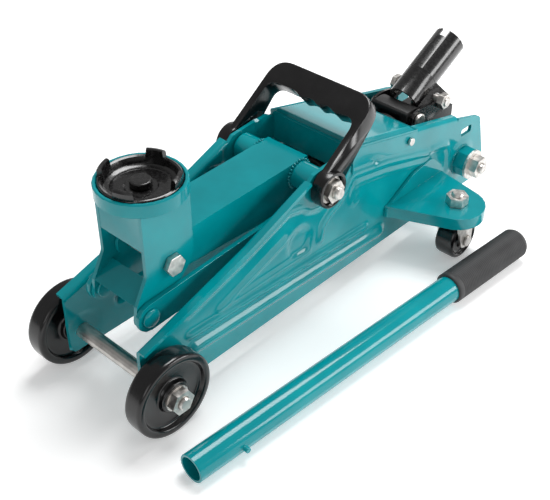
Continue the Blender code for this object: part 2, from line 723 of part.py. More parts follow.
def make_carrier():
    """Two cheeks, a front panel over an open window, a lower web and a ring that holds the saddle."""
    front, rear = BOLT_Y - CARRIER_FRONT, BOLT_Y + CARRIER_REAR
    top = RING_Z + 0.5
    cheek = rounded(
        [
            (front, top, 0),
            (front, BOLT_Z, 6),
            (TIE_Y - 7.6, TIE_Z + 10.6, 3),
            (TIE_Y - 10.5, TIE_Z - 8, 8),
            (TIE_Y + 8, TIE_Z - 12.5, 9),
            (rear - 2, BOLT_Z - 6.5, 5),
            (rear, BOLT_Z + 2, 3),
            (rear, top, 0),
        ]
    )
    holes = [circle(BOLT_Y, BOLT_Z, CARRIER_BOLT_R + GAP), circle(TIE_Y, TIE_Z, TIE_PIN_R + GAP)]
    mesh = slab_mesh("saddle_carrier", cheek, CARRIER_INNER, CARRIER_OUTER, holes)
    carrier = new_object("saddle_carrier", mesh, "carrier", PAINT)
    join(carrier, slab_mesh("cheek", cheek, -CARRIER_OUTER, -CARRIER_INNER, holes))
    half = CARRIER_OUTER - 0.4
    join(carrier, box_mesh("panel", (-half, front + 0.2, BOLT_Z + 19.8), (half, front + CARRIER_T, top - 0.2)))
    web_angle = math.degrees(math.atan2(10, 17))
    web_from = (TIE_Y - 6.2, TIE_Z + 8.2)
    web = box_mesh("web", (-half, web_from[0], web_from[1]), (half, web_from[0] + 19.5, web_from[1] + CARRIER_T),
                   web_angle, (0, *web_from))
    join(carrier, web)
    join(carrier, box_mesh("roof", (-half, front + 0.3, top - 5), (half, rear - 0.3, top - 0.7)))
    inner = RING_R - RING_WALL
    ring = [
        (STEM_R + RUN, 0), (RING_R - 0.8, 0), (RING_R, 0.8), (RING_R, RING_H - 0.8), (RING_R - 0.8, RING_H),
        (inner + 0.5, RING_H), (inner, RING_H - 0.5), (inner, 2), (STEM_R + RUN, 2),
    ]
    join(carrier, turned_mesh("ring", ring, (0, SADDLE_Y, RING_Z), "z", 28))
    cut(carrier, rod_mesh("stem_hole", STEM_R + RUN, RING_Z - 8, RING_Z + 4, "z", (0, SADDLE_Y)))


def make_carrier_bolt():
    """Bolt across the carrier and the arm's nose, with low domed hexagon heads."""
    half = CARRIER_OUTER + GAP
    bolt = new_object(
        "carrier_bolt",
        rod_mesh("carrier_bolt", CARRIER_BOLT_R, -half - 0.5, half + 0.5, at=(BOLT_Y, BOLT_Z)),
        "carrier",
        ZINC,
    )
    for _, side in SIDES:
        low, high = span(side, half, half + 4.6)
        join(bolt, nut_mesh("head", 14.5, low, high, (BOLT_Y, BOLT_Z)))


def make_carrier_pin(name, side):
    """A rivet that joins one cheek of the carrier to its tie rod."""
    profile = [
        (0, CARRIER_INNER - 2.3), (7, CARRIER_INNER - 2.3), (7.4, CARRIER_INNER - 1.8), (7.4, CARRIER_INNER - GAP),
        (TIE_PIN_R, CARRIER_INNER - GAP), (TIE_PIN_R, TIE_OUTER + GAP), (7.4, TIE_OUTER + GAP),
        (7.2, TIE_OUTER + 1.4), (5.5, TIE_OUTER + 2.4), (0, TIE_OUTER + 2.8),
    ]
    mesh = turned_mesh(name, profile, (0, TIE_Y, TIE_Z), "x", 16, flip=side < 0)
    new_object(name, mesh, "carrier", PAINT)


def make_tie_rod(name, side):
    low, high = span(side, TIE_INNER, TIE_OUTER)
    lean = math.atan2(ARM_DROP, ARM_REACH)
    half = TIE_HALF_H
    outline = []
    for y, z, start in ((TIE_Y, TIE_Z, 90), (STUD_Y, STUD_Z, -90)):
        for k in range(7):
            a = math.radians(start + 180 * k / 6) + lean
            outline.append((y + half * math.cos(a), z + half * math.sin(a)))
    holes = [circle(TIE_Y, TIE_Z, TIE_PIN_R + RUN), circle(STUD_Y, STUD_Z, STUD_R + RUN)]
    new_object(name, slab_mesh(name, outline, low, high, holes), "tie_rods", PAINT)


def make_tie_stud(name, side):
    """A shouldered stud on the plate's inner face that the tie rod's rear end turns on."""
    profile = [
        (0, TIE_INNER - 1.0), (STUD_R - 0.8, TIE_INNER - 1.0), (STUD_R, TIE_INNER - 0.2), (STUD_R, TIE_OUTER + GAP),
        (9, TIE_OUTER + GAP), (9, PLATE_INNER - GAP), (0, PLATE_INNER - GAP),
    ]
    mesh = turned_mesh(name, profile, (0, STUD_Y, STUD_Z), "x", 16, flip=side < 0)
    new_object(name, mesh, "frame", PAINT)


def make_saddle():
    """A round cast cup with a stepped floor, four gripping lugs on its rim and a stem below."""
    base = RING_Z + 2 + GAP
    outer = RING_R - RING_WALL - 0.6
    rim = RING_TOP + 0.9 - base
    floor = 3.0
    bore = SADDLE_SCREW_R + GAP
    stem = RING_Z - 6 - base
    profile = [
        (bore, stem), (STEM_R, stem), (STEM_R, 0), (outer - 1, 0), (outer, 1), (outer, rim - 0.6),
        (outer - 0.6, rim), (outer - 2.7, rim), (outer - 3.2, floor + 2.6), (outer - 6, floor + 2),
        (outer - 6.8, floor), (bore, floor),
    ]
    mesh = turned_mesh("saddle", profile, (0, SADDLE_Y, base), "z", 28)
    saddle = new_object("saddle", mesh, "saddle", BLACK_PAINT)
    reach = outer - 0.3
    for k in range(SADDLE_LUGS):
        middle = math.radians(SADDLE_LUG_TURN + 360 * k / SADDLE_LUGS)
        half = math.radians(13)
        arc = [(reach, middle - half + half * i / 2) for i in range(5)]
        arc += [(reach - 4.2, middle + half * 0.8 - half * 0.8 * i / 2) for i in range(5)]
        outline = [(r * math.cos(a), SADDLE_Y + r * math.sin(a)) for r, a in arc]
        low, high = RING_TOP - 2, RING_TOP + 0.9 + SADDLE_LUG_H
        join(saddle, slab_mesh("lug", outline, low, high, axis="z"))
    screw = [
        (0, stem + 2), (SADDLE_SCREW_R, stem + 2), (SADDLE_SCREW_R, floor + GAP), (BUTTON_R, floor + GAP),
        (BUTTON_R, floor + 4), (BUTTON_R - 0.8, floor + 4.8), (0, floor + 4.8),
    ]
    mesh = turned_mesh("saddle_screw", screw, (0, SADDLE_Y, base), "z", 16)
    new_object("saddle_screw", mesh, "saddle", BLACK_PAINT)


def make_carrying_handle():
    """A moulded bail on the arm's shaft: round bosses, legs that thin towards the top, and a grip with finger scallops."""
    seat = BOSS_INNER + BOSS_W - NUT_SEAT
    lean = Matrix.Translation((0, SHAFT_Y, SHAFT_Z)) @ Matrix.Rotation(math.radians(-HANDLE_LEAN), 4, "X")
    outer = BOSS_INNER + BOSS_W
    inside = BOSS_INNER + GAP
    edge = inside + LEG_W
    foot = HANDLE_FOOT
    low = HANDLE_REACH - GRIP_H
    under = [(inside - 11, low - 0.5, 5)]
    for row in range(SCALLOPS - 1):
        ridge = FIRST_RIDGE - row * SCALLOP
        under += [(ridge + 5, low + 3, 4), (ridge, low, 3)]
    under += [(ridge - SCALLOP / 2, low + 3, 4), (11 - inside, low - 0.5, 5)]
    bail = rounded(
        [
            (-edge, foot, 0), (-edge, HANDLE_REACH - 18, 10), (-edge + 14, HANDLE_REACH, 14),
            (edge - 14, HANDLE_REACH, 14), (edge, HANDLE_REACH - 18, 10), (edge, foot, 0),
            (inside, foot, 0), (inside - 0.5, low - 9, 8), *under, (0.5 - inside, low - 9, 8), (-inside, foot, 0),
        ],
        step=45,
    )
    mesh = slab_mesh("carrying_handle", bail, -LEG_DEPTH / 2, LEG_DEPTH / 2, axis="z")
    for vertex in mesh.vertices:
        vertex.co.z *= 1 - (1 - GRIP_THIN) * vertex.co.y / (HANDLE_REACH * MM)
    upright = Matrix(((1, 0, 0, 0), (0, 0, -1, 0), (0, 1, 0, 0), (0, 0, 0, 1)))
    shift = lean.copy()
    shift.translation *= MM
    mesh.transform(shift @ upright)
    handle = new_object("carrying_handle", mesh, "carrying_handle", PLASTIC)
    at = (SHAFT_Y, SHAFT_Z)
    for _, side in SIDES:
        first, last = span(side, BOSS_INNER, outer)
        join(handle, rod_mesh("boss", BOSS_R, first, last, at=at, segments=20))
    for _, side in SIDES:
        first, last = span(side, BOSS_INNER - CUT, outer + CUT)
        cut(handle, rod_mesh("bore", SHAFT_R + RUN, first, last, at=at))
        first, last = span(side, seat, outer + CUT)
        cut(handle, rod_mesh("recess", BOSS_R - 2.4, first, last, at=at))


def make_power_unit():
    """Reservoir shell with the ram in its bore, and the cast pump block bolted behind it."""
    front, end = SHAFT_Y + CYLINDER_FRONT, BLOCK_Y - GAP
    bore = RAM_R + RUN
    profile = [
        (0, end - 3), (bore, end - 3), (bore, front), (CYLINDER_R - 1.5, front), (CYLINDER_R, front + 1.5),
        (CYLINDER_R, end - 1.5), (CYLINDER_R - 1.5, end), (0, end),
    ]
    mesh = turned_mesh("ram_cylinder", profile, (0, 0, RAM_Z), "y", 20)
    new_object("ram_cylinder", mesh, "frame", CAST)
    make_ram(end - 3)
    make_pump_block()


def make_ram(bore_end):
    """Piston rod with an upright slot in its head for the lever pin, and a cross bar for the springs."""
    head_half_y = LEVER_PIN_R + 5.5
    retract = LEVER_R * (math.sin(LEVER_SIDE) - math.sin(math.radians(LEVER_ANGLE))) + 1.2
    rod_end = bore_end - retract - 1
    head = box_mesh("ram", (-8, LEVER_Y - head_half_y, RAM_Z - 13.5), (8, LEVER_Y + head_half_y, RAM_Z + 13.5))
    ram = new_object("ram", head, "ram", STEEL)
    join(ram, rod_mesh("rod", RAM_R, LEVER_Y + head_half_y - 2, rod_end, "y", (0, RAM_Z)))
    half_z = (LEVER_HIGH - LEVER_LOW) / 2 + LEVER_PIN_R + 0.5
    half_y = LEVER_PIN_R + 1.6
    slot = rounded(
        [(LEVER_Y - half_y, RAM_Z - half_z, 4), (LEVER_Y + half_y, RAM_Z - half_z, 4),
         (LEVER_Y + half_y, RAM_Z + half_z, 4), (LEVER_Y - half_y, RAM_Z + half_z, 4)],
        step=30,
    )
    cut(ram, slab_mesh("slot", slot, -10, 10))
    foot = RAM_Z - 13.5
    join(ram, box_mesh("tab", (-2, LEVER_Y - 4, SPRING_Z - 3), (2, LEVER_Y + 4, foot + 1)))
    reach = SPRING_X + SPRING_R
    join(ram, rod_mesh("bar", 2.2, -reach, reach, at=(LEVER_Y, SPRING_Z), segments=12))


def make_pump_block():
    pin_y, pin_z = SOCKET_PIN
    lug = rounded(
        [(BLOCK_Y, BLOCK_TOP - 20, 0), (pin_y + 9.3, BLOCK_TOP - 20, 0), (pin_y + 9.3, pin_z + 9.3, 9),
         (BLOCK_Y, pin_z + 9.3, 4)]
    )
    body = box_mesh("pump_block", (-BLOCK_HALF, BLOCK_Y, BLOCK_BOTTOM), (BLOCK_HALF, BLOCK_END, BLOCK_TOP))
    block = new_object("pump_block", body, "frame", CAST)
    join(block, slab_mesh("lug", lug, 0.2 - BLOCK_HALF, BLOCK_HALF - 0.2))
    cut(block, box_mesh("recess", (-WINDOW_HALF, BLOCK_Y - CUT, pin_z - 12), (WINDOW_HALF, BLOCK_Y + 3, pin_z + 4)))
    wide = BLOCK_HALF + CUT
    cut(block, rod_mesh("pin_bore", SOCKET_PIN_R + RUN, -wide, wide, at=SOCKET_PIN))
    cut(block, rod_mesh("bolt_bore", REAR_BOLT_R + RUN, -wide, wide, at=(REAR_BOLT_Y, REAR_BOLT_Z)))
    cut(block, rod_mesh("plunger_bore", PLUNGER_R + RUN, PLUNGER_Z - 41, BLOCK_TOP + CUT, "z", (0, ROLLER_Y - 2)))
    cut(block, rod_mesh("valve_bore", VALVE_R + RUN, BLOCK_END - 12, BLOCK_END + CUT, "y", (0, VALVE_Z)))


def make_plunger():
    at = (0, ROLLER_Y - 2)
    low = PLUNGER_Z - 34
    plunger = new_object("plunger", rod_mesh("plunger", PLUNGER_R, low, PLUNGER_Z, "z", at), "plunger", STEEL)
    return plunger


def make_release_valve():
    """A screw in the block's rear face that lets the ram down, with a cross slot for the bar's end."""
    profile = [
        (0, BLOCK_END - 10), (VALVE_R, BLOCK_END - 10), (VALVE_R, BLOCK_END + 1), (6.2, BLOCK_END + 1),
        (6.2, BLOCK_END + 11), (5.4, BLOCK_END + 12), (0, BLOCK_END + 12),
    ]
    mesh = turned_mesh("release_valve", profile[::-1], (0, 0, VALVE_Z), "y", 16)
    valve = new_object("release_valve", mesh, "release_valve", ZINC)
    cut(valve, box_mesh("slot", (-8, BLOCK_END + 8, VALVE_Z - 1.2), (8, BLOCK_END + 14, VALVE_Z + 1.2)))


def make_return_spring(name, side):
    """A close-wound tension spring from the ram's cross bar back to the pump block."""
    start, end = LEVER_Y + 2.2 + GAP + SPRING_WIRE, BLOCK_Y - GAP - SPRING_WIRE
    curve = bpy.data.curves.new(name, "CURVE")
    curve.dimensions = "3D"
    curve.bevel_depth = SPRING_WIRE
    curve.bevel_resolution = 0
    curve.use_fill_caps = True
    steps = 6
    spline = curve.splines.new("POLY")
    spline.points.add(SPRING_TURNS * steps)
    for k, point in enumerate(spline.points):
        turn = math.tau * k / steps
        y = start + (end - start) * k / (SPRING_TURNS * steps)
        x = side * SPRING_X + (SPRING_R - SPRING_WIRE) * math.cos(turn)
        point.co = (x, y, SPRING_Z + (SPRING_R - SPRING_WIRE) * math.sin(turn), 1)
    guide = bpy.data.objects.new(name, curve)
    TOOLS.objects.link(guide)
    bpy.context.view_layer.update()
    graph = bpy.context.evaluated_depsgraph_get()
    filled = bpy.data.meshes.new_from_object(guide.evaluated_get(graph))
    bpy.data.objects.remove(guide)
    bpy.data.curves.remove(curve)
    bm = bmesh.new()
    bm.from_mesh(filled)
    bpy.data.meshes.remove(filled)
    bmesh.ops.remove_doubles(bm, verts=bm.verts, dist=1e-4)
    new_object(name, to_mesh(name, bm, 60), "frame", STEEL)


def along_socket(s, lift):
    """A point in YZ at a distance along the socket's tube and above its centre line."""
    tilt = math.radians(SOCKET_TILT)
    rise = lift + SOCKET_LIFT
    return (
        SOCKET_PIN[0] + s * math.cos(tilt) - rise * math.sin(tilt),
        SOCKET_PIN[1] + s * math.sin(tilt) + rise * math.cos(tilt),
    )


def make_pump_socket():
    """A pressed tube for the handle bar whose lower end opens into two ears round the pump block."""
    hood_end = 40.0
    tilt = math.radians(SOCKET_TILT)
    inner = SOCKET_R - SOCKET_WALL
    outline = [(EAR_HALF - 1, -20), (EAR_HALF + 1, -20), (EAR_HALF + 1, -14)]
    arc = [(SOCKET_R * math.cos(math.radians(a)), SOCKET_R * math.sin(math.radians(a))) for a in range(-18, 199, 18)]
    back = [(inner * math.cos(math.radians(a)), inner * math.sin(math.radians(a))) for a in range(198, -19, -18)]
    outline += arc + [(-EAR_HALF - 1, -14), (-EAR_HALF - 1, -20), (1 - EAR_HALF, -20), (1 - EAR_HALF, -13)]
    outline += back + [(EAR_HALF - 1, -13)]
    place = Matrix.Translation((0, SOCKET_PIN[0] * MM, SOCKET_PIN[1] * MM))
    place = place @ Matrix.Rotation(tilt - math.radians(90), 4, "X")
    lifted = Matrix.Translation((0, -SOCKET_LIFT * MM, 0))
    stand = Matrix(((1, 0, 0, 0), (0, -1, 0, 0), (0, 0, 1, 0), (0, 0, 0, 1)))

    def placed(mesh):
        mesh.transform(place @ lifted)
        return mesh

    flipped = [(x, -n) for x, n in outline]
    hood = placed(slab_mesh("pump_socket", flipped, SOCKET_START, hood_end, axis="z"))
    socket = new_object("pump_socket", hood, "pump_socket", BLACK_PAINT)
    pin_y, pin_z = SOCKET_PIN
    ear = rounded(
        [
            (pin_y - 9, pin_z + 9, 8), (pin_y - 9, pin_z - 9, 8), (pin_y + 14, pin_z - 9, 5),
            (ROLLER_Y - 4, ROLLER_Z - 11, 9), (ROLLER_Y + 10.5, ROLLER_Z - 8.5, 8), (*along_socket(39, -13), 0),
            (*along_socket(22, -8), 6), (pin_y + 9, pin_z + 9, 8),
        ]
    )
    for _, side in SIDES:
        low, high = span(side, EAR_HALF - 1.1, EAR_HALF + 1.1)
        join(socket, slab_mesh("ear", ear, low, high))
    fit, proud = inner + 0.15, SOCKET_R + 0.15
    tube = [(fit, hood_end - 2), (proud, hood_end - 2), (proud, SOCKET_END), (fit, SOCKET_END)]
    join(socket, placed(turned_mesh("tube", tube, (0, 0, 0), "z", 20)))
    notch = box_mesh("notch", (-3.5, -SOCKET_R - 2, SOCKET_END - 7), (3.5, 0, SOCKET_END + CUT))
    cut(socket, placed(notch))
    for (y, z), radius in ((SOCKET_PIN, SOCKET_PIN_R), ((ROLLER_Y, ROLLER_Z), SOCKET_BOLT_R)):
        cut(socket, rod_mesh("hole", radius + RUN, -30, 30, at=(y, z)))


def make_socket_pins():
    ear = EAR_HALF + 1.1
    head = [
        (0, -ear - 3), (5.5, -ear - 3), (6.5, -ear - 2.2), (6.5, -ear - GAP), (SOCKET_PIN_R, -ear - GAP),
        (SOCKET_PIN_R, ear + GAP), (6.5, ear + GAP), (6.5, ear + 2.2), (5.5, ear + 3), (0, ear + 3),
    ]
    new_object("socket_pin", turned_mesh("socket_pin", head, (0, *SOCKET_PIN), "x", 16), "frame", ZINC)
    at = (ROLLER_Y, ROLLER_Z)
    bolt = rod_mesh("socket_bolt", SOCKET_BOLT_R, -ear - 1, ear + 8, at=at)
    bolt = new_object("socket_bolt", bolt, "pump_socket", ZINC)
    join(bolt, nut_mesh("head", 12.5, -ear - 5, -ear - GAP, at))
    join(bolt, nut_mesh("nut", 12.5, ear + GAP, ear + 6.3, at))
    roller = rod_mesh("socket_roller", ROLLER_R, -ROLLER_HALF, ROLLER_HALF, at=at)
    roller = new_object("socket_roller", roller, "pump_socket", STEEL)
    cut(roller, rod_mesh("bore", SOCKET_BOLT_R + RUN, -ROLLER_HALF - CUT, ROLLER_HALF + CUT, at=at))


def make_caster(side_name, side):
    """A swivelling fork with its nut above the ear, and the wheel on its own axle."""
    body, wheel_body = f"caster_{side_name}", f"caster_wheel_{side_name}"
    x, wheel_y = side * STEM_X, STEM_Y + CASTER_TRAIL
    deck = 2 * CASTER_R + 3
    under = EAR_TOP - EAR_T - GAP
    bolt_top = EAR_TOP + 10.5
    stem = [
        (0, deck), (13, deck), (13, deck + FORK_T), (9, under - 1.5), (9, under), (CASTER_STEM_R, under),
        (CASTER_STEM_R, bolt_top - 1), (CASTER_STEM_R - 1, bolt_top), (0, bolt_top),
    ]
    fork = new_object(body + "_fork", turned_mesh("fork", stem, (x, STEM_Y, 0), "z", 24), body, ZINC)
    inner = CASTER_W / 2 + 0.7
    outline = rounded(
        [(STEM_Y - 11, deck + FORK_T - 0.1, 3), (wheel_y - 6.5, CASTER_R - 6, 6), (wheel_y + 6.5, CASTER_R - 6, 6),
         (STEM_Y + 12, deck + FORK_T - 0.1, 3)],
        step=45,
    )
    for way in (-1, 1):
        low, high = sorted((x + way * inner, x + way * (inner + FORK_T)))
        hole = circle(wheel_y, CASTER_R, CASTER_AXLE_R + GAP, 16)
        join(fork, slab_mesh("cheek", outline, low, high, [hole]))
    reach = inner + FORK_T - 0.2
    join(fork, box_mesh("deck", (x - reach, STEM_Y - 10.5, deck + 0.1), (x + reach, STEM_Y + 11.5, deck + FORK_T - 0.2)))
    nut = nut_mesh("nut", 16, EAR_TOP + GAP, EAR_TOP + 8, (x, STEM_Y), "z")
    nut = new_object(f"{body}_nut", nut, body, ZINC)
    cut(nut, rod_mesh("bore", CASTER_STEM_R + GAP, EAR_TOP - CUT, EAR_TOP + 9, "z", (x, STEM_Y)))
    edge = inner + FORK_T + GAP
    axle = [
        (0, -edge - 1.6), (4.8, -edge - 1.6), (4.8, -edge), (CASTER_AXLE_R, -edge),
        (CASTER_AXLE_R, edge), (4.8, edge), (4.8, edge + 1.6), (0, edge + 1.6),
    ]
    mesh = turned_mesh("axle", axle, (x, wheel_y, CASTER_R), "x", 16)
    new_object(f"{body}_axle", mesh, body, ZINC)
    half, bore = CASTER_W / 2, CASTER_AXLE_R + RUN
    wheel = [
        (bore, -half), (6, -half), (6.5, 1.5 - half), (CASTER_R - 4, 1.5 - half), (CASTER_R - 3, -half),
        (CASTER_R, 3 - half), (CASTER_R, half - 3), (CASTER_R - 3, half), (CASTER_R - 4, half - 1.5),
        (6.5, half - 1.5), (6, half), (bore, half),
    ]
    mesh = turned_mesh("wheel", wheel, (x, wheel_y, CASTER_R), "x", 20)
    new_object(wheel_body, mesh, wheel_body, PLASTIC)


def make_handle_bar():
    """The loose bar on the floor: an open tube with a peg near its front end, and a closed grip."""
    (x0, y0), (x1, y1) = BAR_FROM, BAR_TO
    length = math.hypot(x1 - x0, y1 - y0)
    grip_start = length - BAR_GRIP_L
    yaw = math.atan2(x1 - x0, y1 - y0)
    rise = math.atan2(BAR_GRIP_R - BAR_R, length - BAR_GRIP_L)
    place = Matrix.Translation((x0 * MM, y0 * MM, BAR_R * MM)) @ Matrix.Rotation(-yaw, 4, "Z")
    place = place @ Matrix.Rotation(rise - math.radians(90), 4, "X")

    def placed(mesh):
        mesh.transform(place)
        return mesh

    inner = BAR_R - BAR_WALL
    end = length - 3.5
    tube = [(inner, 0), (BAR_R, 0), (BAR_R, end), (inner, end)]
    bar = new_object("handle_tube", placed(turned_mesh("handle_tube", tube, (0, 0, 0), "z", 20)), "handle_bar", PAINT)
    join(bar, placed(rod_mesh("peg", PEG_R, inner + 0.5, BAR_R + 4, "x", (0, 38), 12)))
    fit = BAR_R + GAP
    grip = [
        (fit, grip_start), (BAR_GRIP_R - 1, grip_start), (BAR_GRIP_R, grip_start + 1),
        (BAR_GRIP_R, length - 3), (BAR_GRIP_R - 3, length), (0, length), (0, end + GAP), (fit, end + GAP),
    ]
    mesh = placed(turned_mesh("handle_grip", grip[::-1], (0, 0, 0), "z", 20))
    new_object("handle_grip", mesh, "handle_bar", RUBBER)


def footprint():
    """The lowest and highest corners of all the parts, in metres."""
    bpy.context.view_layer.update()
    graph = bpy.context.evaluated_depsgraph_get()
    corners = []
    for obj in PARTS.objects:
        if obj.type == "MESH":
            evaluated = obj.evaluated_get(graph)
            corners += [obj.matrix_world @ Vector(c) for c in evaluated.bound_box]
    low = Vector(min(c[i] for c in corners) for i in range(3))
    high = Vector(max(c[i] for c in corners) for i in range(3))
    return low, high


clear_scene()
PARTS = collection("car_jack")
TOOLS = collection("cutters")
BODIES = {}
joint_empty("frame")
joint_empty("arm", (0, SHAFT_Y, SHAFT_Z))
joint_empty("carrier", (0, BOLT_Y, BOLT_Z))
joint_empty("saddle", (0, SADDLE_Y, RING_Z))
joint_empty("tie_rods", (0, STUD_Y, STUD_Z))
joint_empty("ram", (0, LEVER_Y, RAM_Z))
joint_empty("carrying_handle", (0, SHAFT_Y, SHAFT_Z))
joint_empty("pump_socket", (0, *SOCKET_PIN))
joint_empty("plunger", (0, ROLLER_Y - 2, PLUNGER_Z))
joint_empty("release_valve", (0, BLOCK_END, VALVE_Z))
joint_empty("handle_bar", (*BAR_FROM, BAR_R))
for side_name, side in SIDES:
    joint_empty(f"front_wheel_{side_name}", (side * WHEEL_INNER, 0, WHEEL_R))
    joint_empty(f"caster_{side_name}", (side * STEM_X, STEM_Y, EAR_TOP))
    joint_empty(f"caster_wheel_{side_name}", (side * STEM_X, STEM_Y + CASTER_TRAIL, CASTER_R))

for side_name, side in SIDES:
    make_side_plate(f"side_plate_{side_name}", side)
    make_caster_ear(f"caster_ear_{side_name}", side)
    make_arm_spacer(f"arm_spacer_{side_name}", side)
    make_carrier_pin(f"carrier_pin_{side_name}", side)
    make_tie_rod(f"tie_rod_{side_name}", side)
    make_tie_stud(f"tie_stud_{side_name}", side)
    make_return_spring(f"return_spring_{side_name}", side)
    make_caster(side_name, side)
make_cover()
make_front_axle()
make_arm_shaft()
make_rear_bolt()
make_rear_cross_plate()
make_lift_arm()
make_lever_pin()
make_carrier()
make_carrier_bolt()
make_saddle()
make_carrying_handle()
make_power_unit()
make_plunger()
make_release_valve()
make_pump_socket()
make_socket_pins()
make_handle_bar()

LOW, HIGH = footprint()
BODIES["frame"].location = (-(LOW.x + HIGH.x) / 2, -(LOW.y + HIGH.y) / 2, -LOW.z)
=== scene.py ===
import json
import math

import bmesh
import bpy
from mathutils import Matrix, Vector


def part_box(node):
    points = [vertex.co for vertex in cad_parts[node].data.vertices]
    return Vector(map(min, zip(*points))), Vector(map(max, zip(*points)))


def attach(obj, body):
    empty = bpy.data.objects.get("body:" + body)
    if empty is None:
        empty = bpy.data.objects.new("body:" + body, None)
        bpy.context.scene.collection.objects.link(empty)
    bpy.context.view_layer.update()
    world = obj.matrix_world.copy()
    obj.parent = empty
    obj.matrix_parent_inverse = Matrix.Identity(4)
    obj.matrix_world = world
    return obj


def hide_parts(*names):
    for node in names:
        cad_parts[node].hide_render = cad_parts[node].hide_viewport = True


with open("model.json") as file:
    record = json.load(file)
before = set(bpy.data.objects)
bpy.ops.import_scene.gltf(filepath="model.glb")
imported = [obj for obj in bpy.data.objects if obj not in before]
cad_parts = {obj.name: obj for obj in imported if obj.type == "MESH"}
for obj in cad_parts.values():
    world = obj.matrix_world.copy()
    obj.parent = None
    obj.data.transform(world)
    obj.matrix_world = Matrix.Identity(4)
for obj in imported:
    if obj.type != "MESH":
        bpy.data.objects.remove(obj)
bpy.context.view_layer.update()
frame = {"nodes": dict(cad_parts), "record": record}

mm = 0.001
sides = (("left", -1), ("right", 1))

# The layout's origin is the middle of the front axle, dropped to the floor
axleLow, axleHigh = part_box("front_axle")
layoutOrigin = Vector(((axleLow.x + axleHigh.x) / 2, (axleLow.y + axleHigh.y) / 2, 0))


def place(x, y, z):
    return layoutOrigin + Vector((x, y, z)) * mm


def middleOf(node):
    low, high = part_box(node)
    return (low + high) / 2


# colour and materials
def linearColour(text):
    # "#RRGGBB" in sRGB to a linear colour with full alpha
    values = [int(text[i:i + 2], 16) / 255 for i in (1, 3, 5)]
    linear = [v / 12.92 if v <= 0.04045 else ((v + 0.055) / 1.055) ** 2.4 for v in values]
    return (*linear, 1.0)


def addNode(tree, kind, sockets=None, stops=None, **settings):
    # a pair of (node, output name) makes a link, anything else is a value; stops fill a ramp
    node = tree.nodes.new(kind)
    for name, value in settings.items():
        setattr(node, name, value)
    for name, value in (sockets or {}).items():
        if isinstance(value, tuple) and len(value) == 2 and isinstance(value[0], bpy.types.Node):
            tree.links.new(value[0].outputs[value[1]], node.inputs[name])
        else:
            node.inputs[name].default_value = value
    if stops:
        colours = node.color_ramp.elements
        colours[0].position, colours[0].color = stops[0]
        colours[1].position, colours[1].color = stops[-1]
        for position, colour in stops[1:-1]:
            colours.new(position).color = colour
    return node


def startMaterial(name, **sockets):
    made = bpy.data.materials.new(name)
    made.use_nodes = True
    tree = made.node_tree
    shader = tree.nodes["Principled BSDF"]
    for key, value in sockets.items():
        shader.inputs[key.replace("_", " ")].default_value = value
    return made, tree, shader


enamelLook = {
    "colour": "#008A92", "deep": "#008188", "pale": "#00959C",
    "peelSize": 1.6,       # mm between the humps of sprayed enamel
    "patchSize": 45.0,     # mm across the slow changes in film thickness
    "roughness": (0.10, 0.17), "coat": 0.35, "coatRoughness": 0.06,
}
blackLook = {
    "dark": "#070607", "light": "#0E0D0E", "roughness": (0.18, 0.34),
    "coat": 0.5, "coatRoughness": 0.06,
    "skinPerMetre": 420.0,     # the casting's skin shows humps about 2.4 mm apart
}
ironLook = {
    "dark": "#161616", "light": "#262626", "roughness": 0.42,
    "sandPerMetre": 650.0,     # grit about 1.5 mm across, drawn coarse enough to show
}


def tealEnamel():
    # sprayed gloss enamel on pressed steel: a hard clear shine with faint orange peel
    look = enamelLook
    made, tree, shader = startMaterial("tealEnamel", Metallic=0.0, IOR=1.5, Specular_IOR_Level=0.25)
    shader.inputs["Coat Weight"].default_value = look["coat"]
    shader.inputs["Coat Roughness"].default_value = look["coatRoughness"]
    where = addNode(tree, "ShaderNodeTexCoord")
    patch = addNode(tree, "ShaderNodeTexNoise", {
        "Vector": (where, "Object"), "Scale": 1000 / look["patchSize"],
        "Detail": 3.0, "Roughness": 0.5})
    tint = addNode(tree, "ShaderNodeValToRGB", {"Fac": (patch, "Fac")}, [
        (0.3, linearColour(look["deep"])), (0.5, linearColour(look["colour"])),
        (0.72, linearColour(look["pale"]))])
    tree.links.new(tint.outputs["Color"], shader.inputs["Base Color"])
    gloss = addNode(tree, "ShaderNodeMapRange", {
        "Value": (patch, "Fac"), "From Min": 0.3, "From Max": 0.7,
        "To Min": look["roughness"][0], "To Max": look["roughness"][1]})
    tree.links.new(gloss.outputs["Result"], shader.inputs["Roughness"])
    peel = addNode(tree, "ShaderNodeTexNoise", {
        "Vector": (where, "Object"), "Scale": 1000 / look["peelSize"], "Detail": 1.0})
    bump = addNode(tree, "ShaderNodeBump", {
        "Height": (peel, "Fac"), "Strength": 0.05, "Distance": 0.0002})
    tree.links.new(bump.outputs["Normal"], shader.inputs["Normal"])
    return made


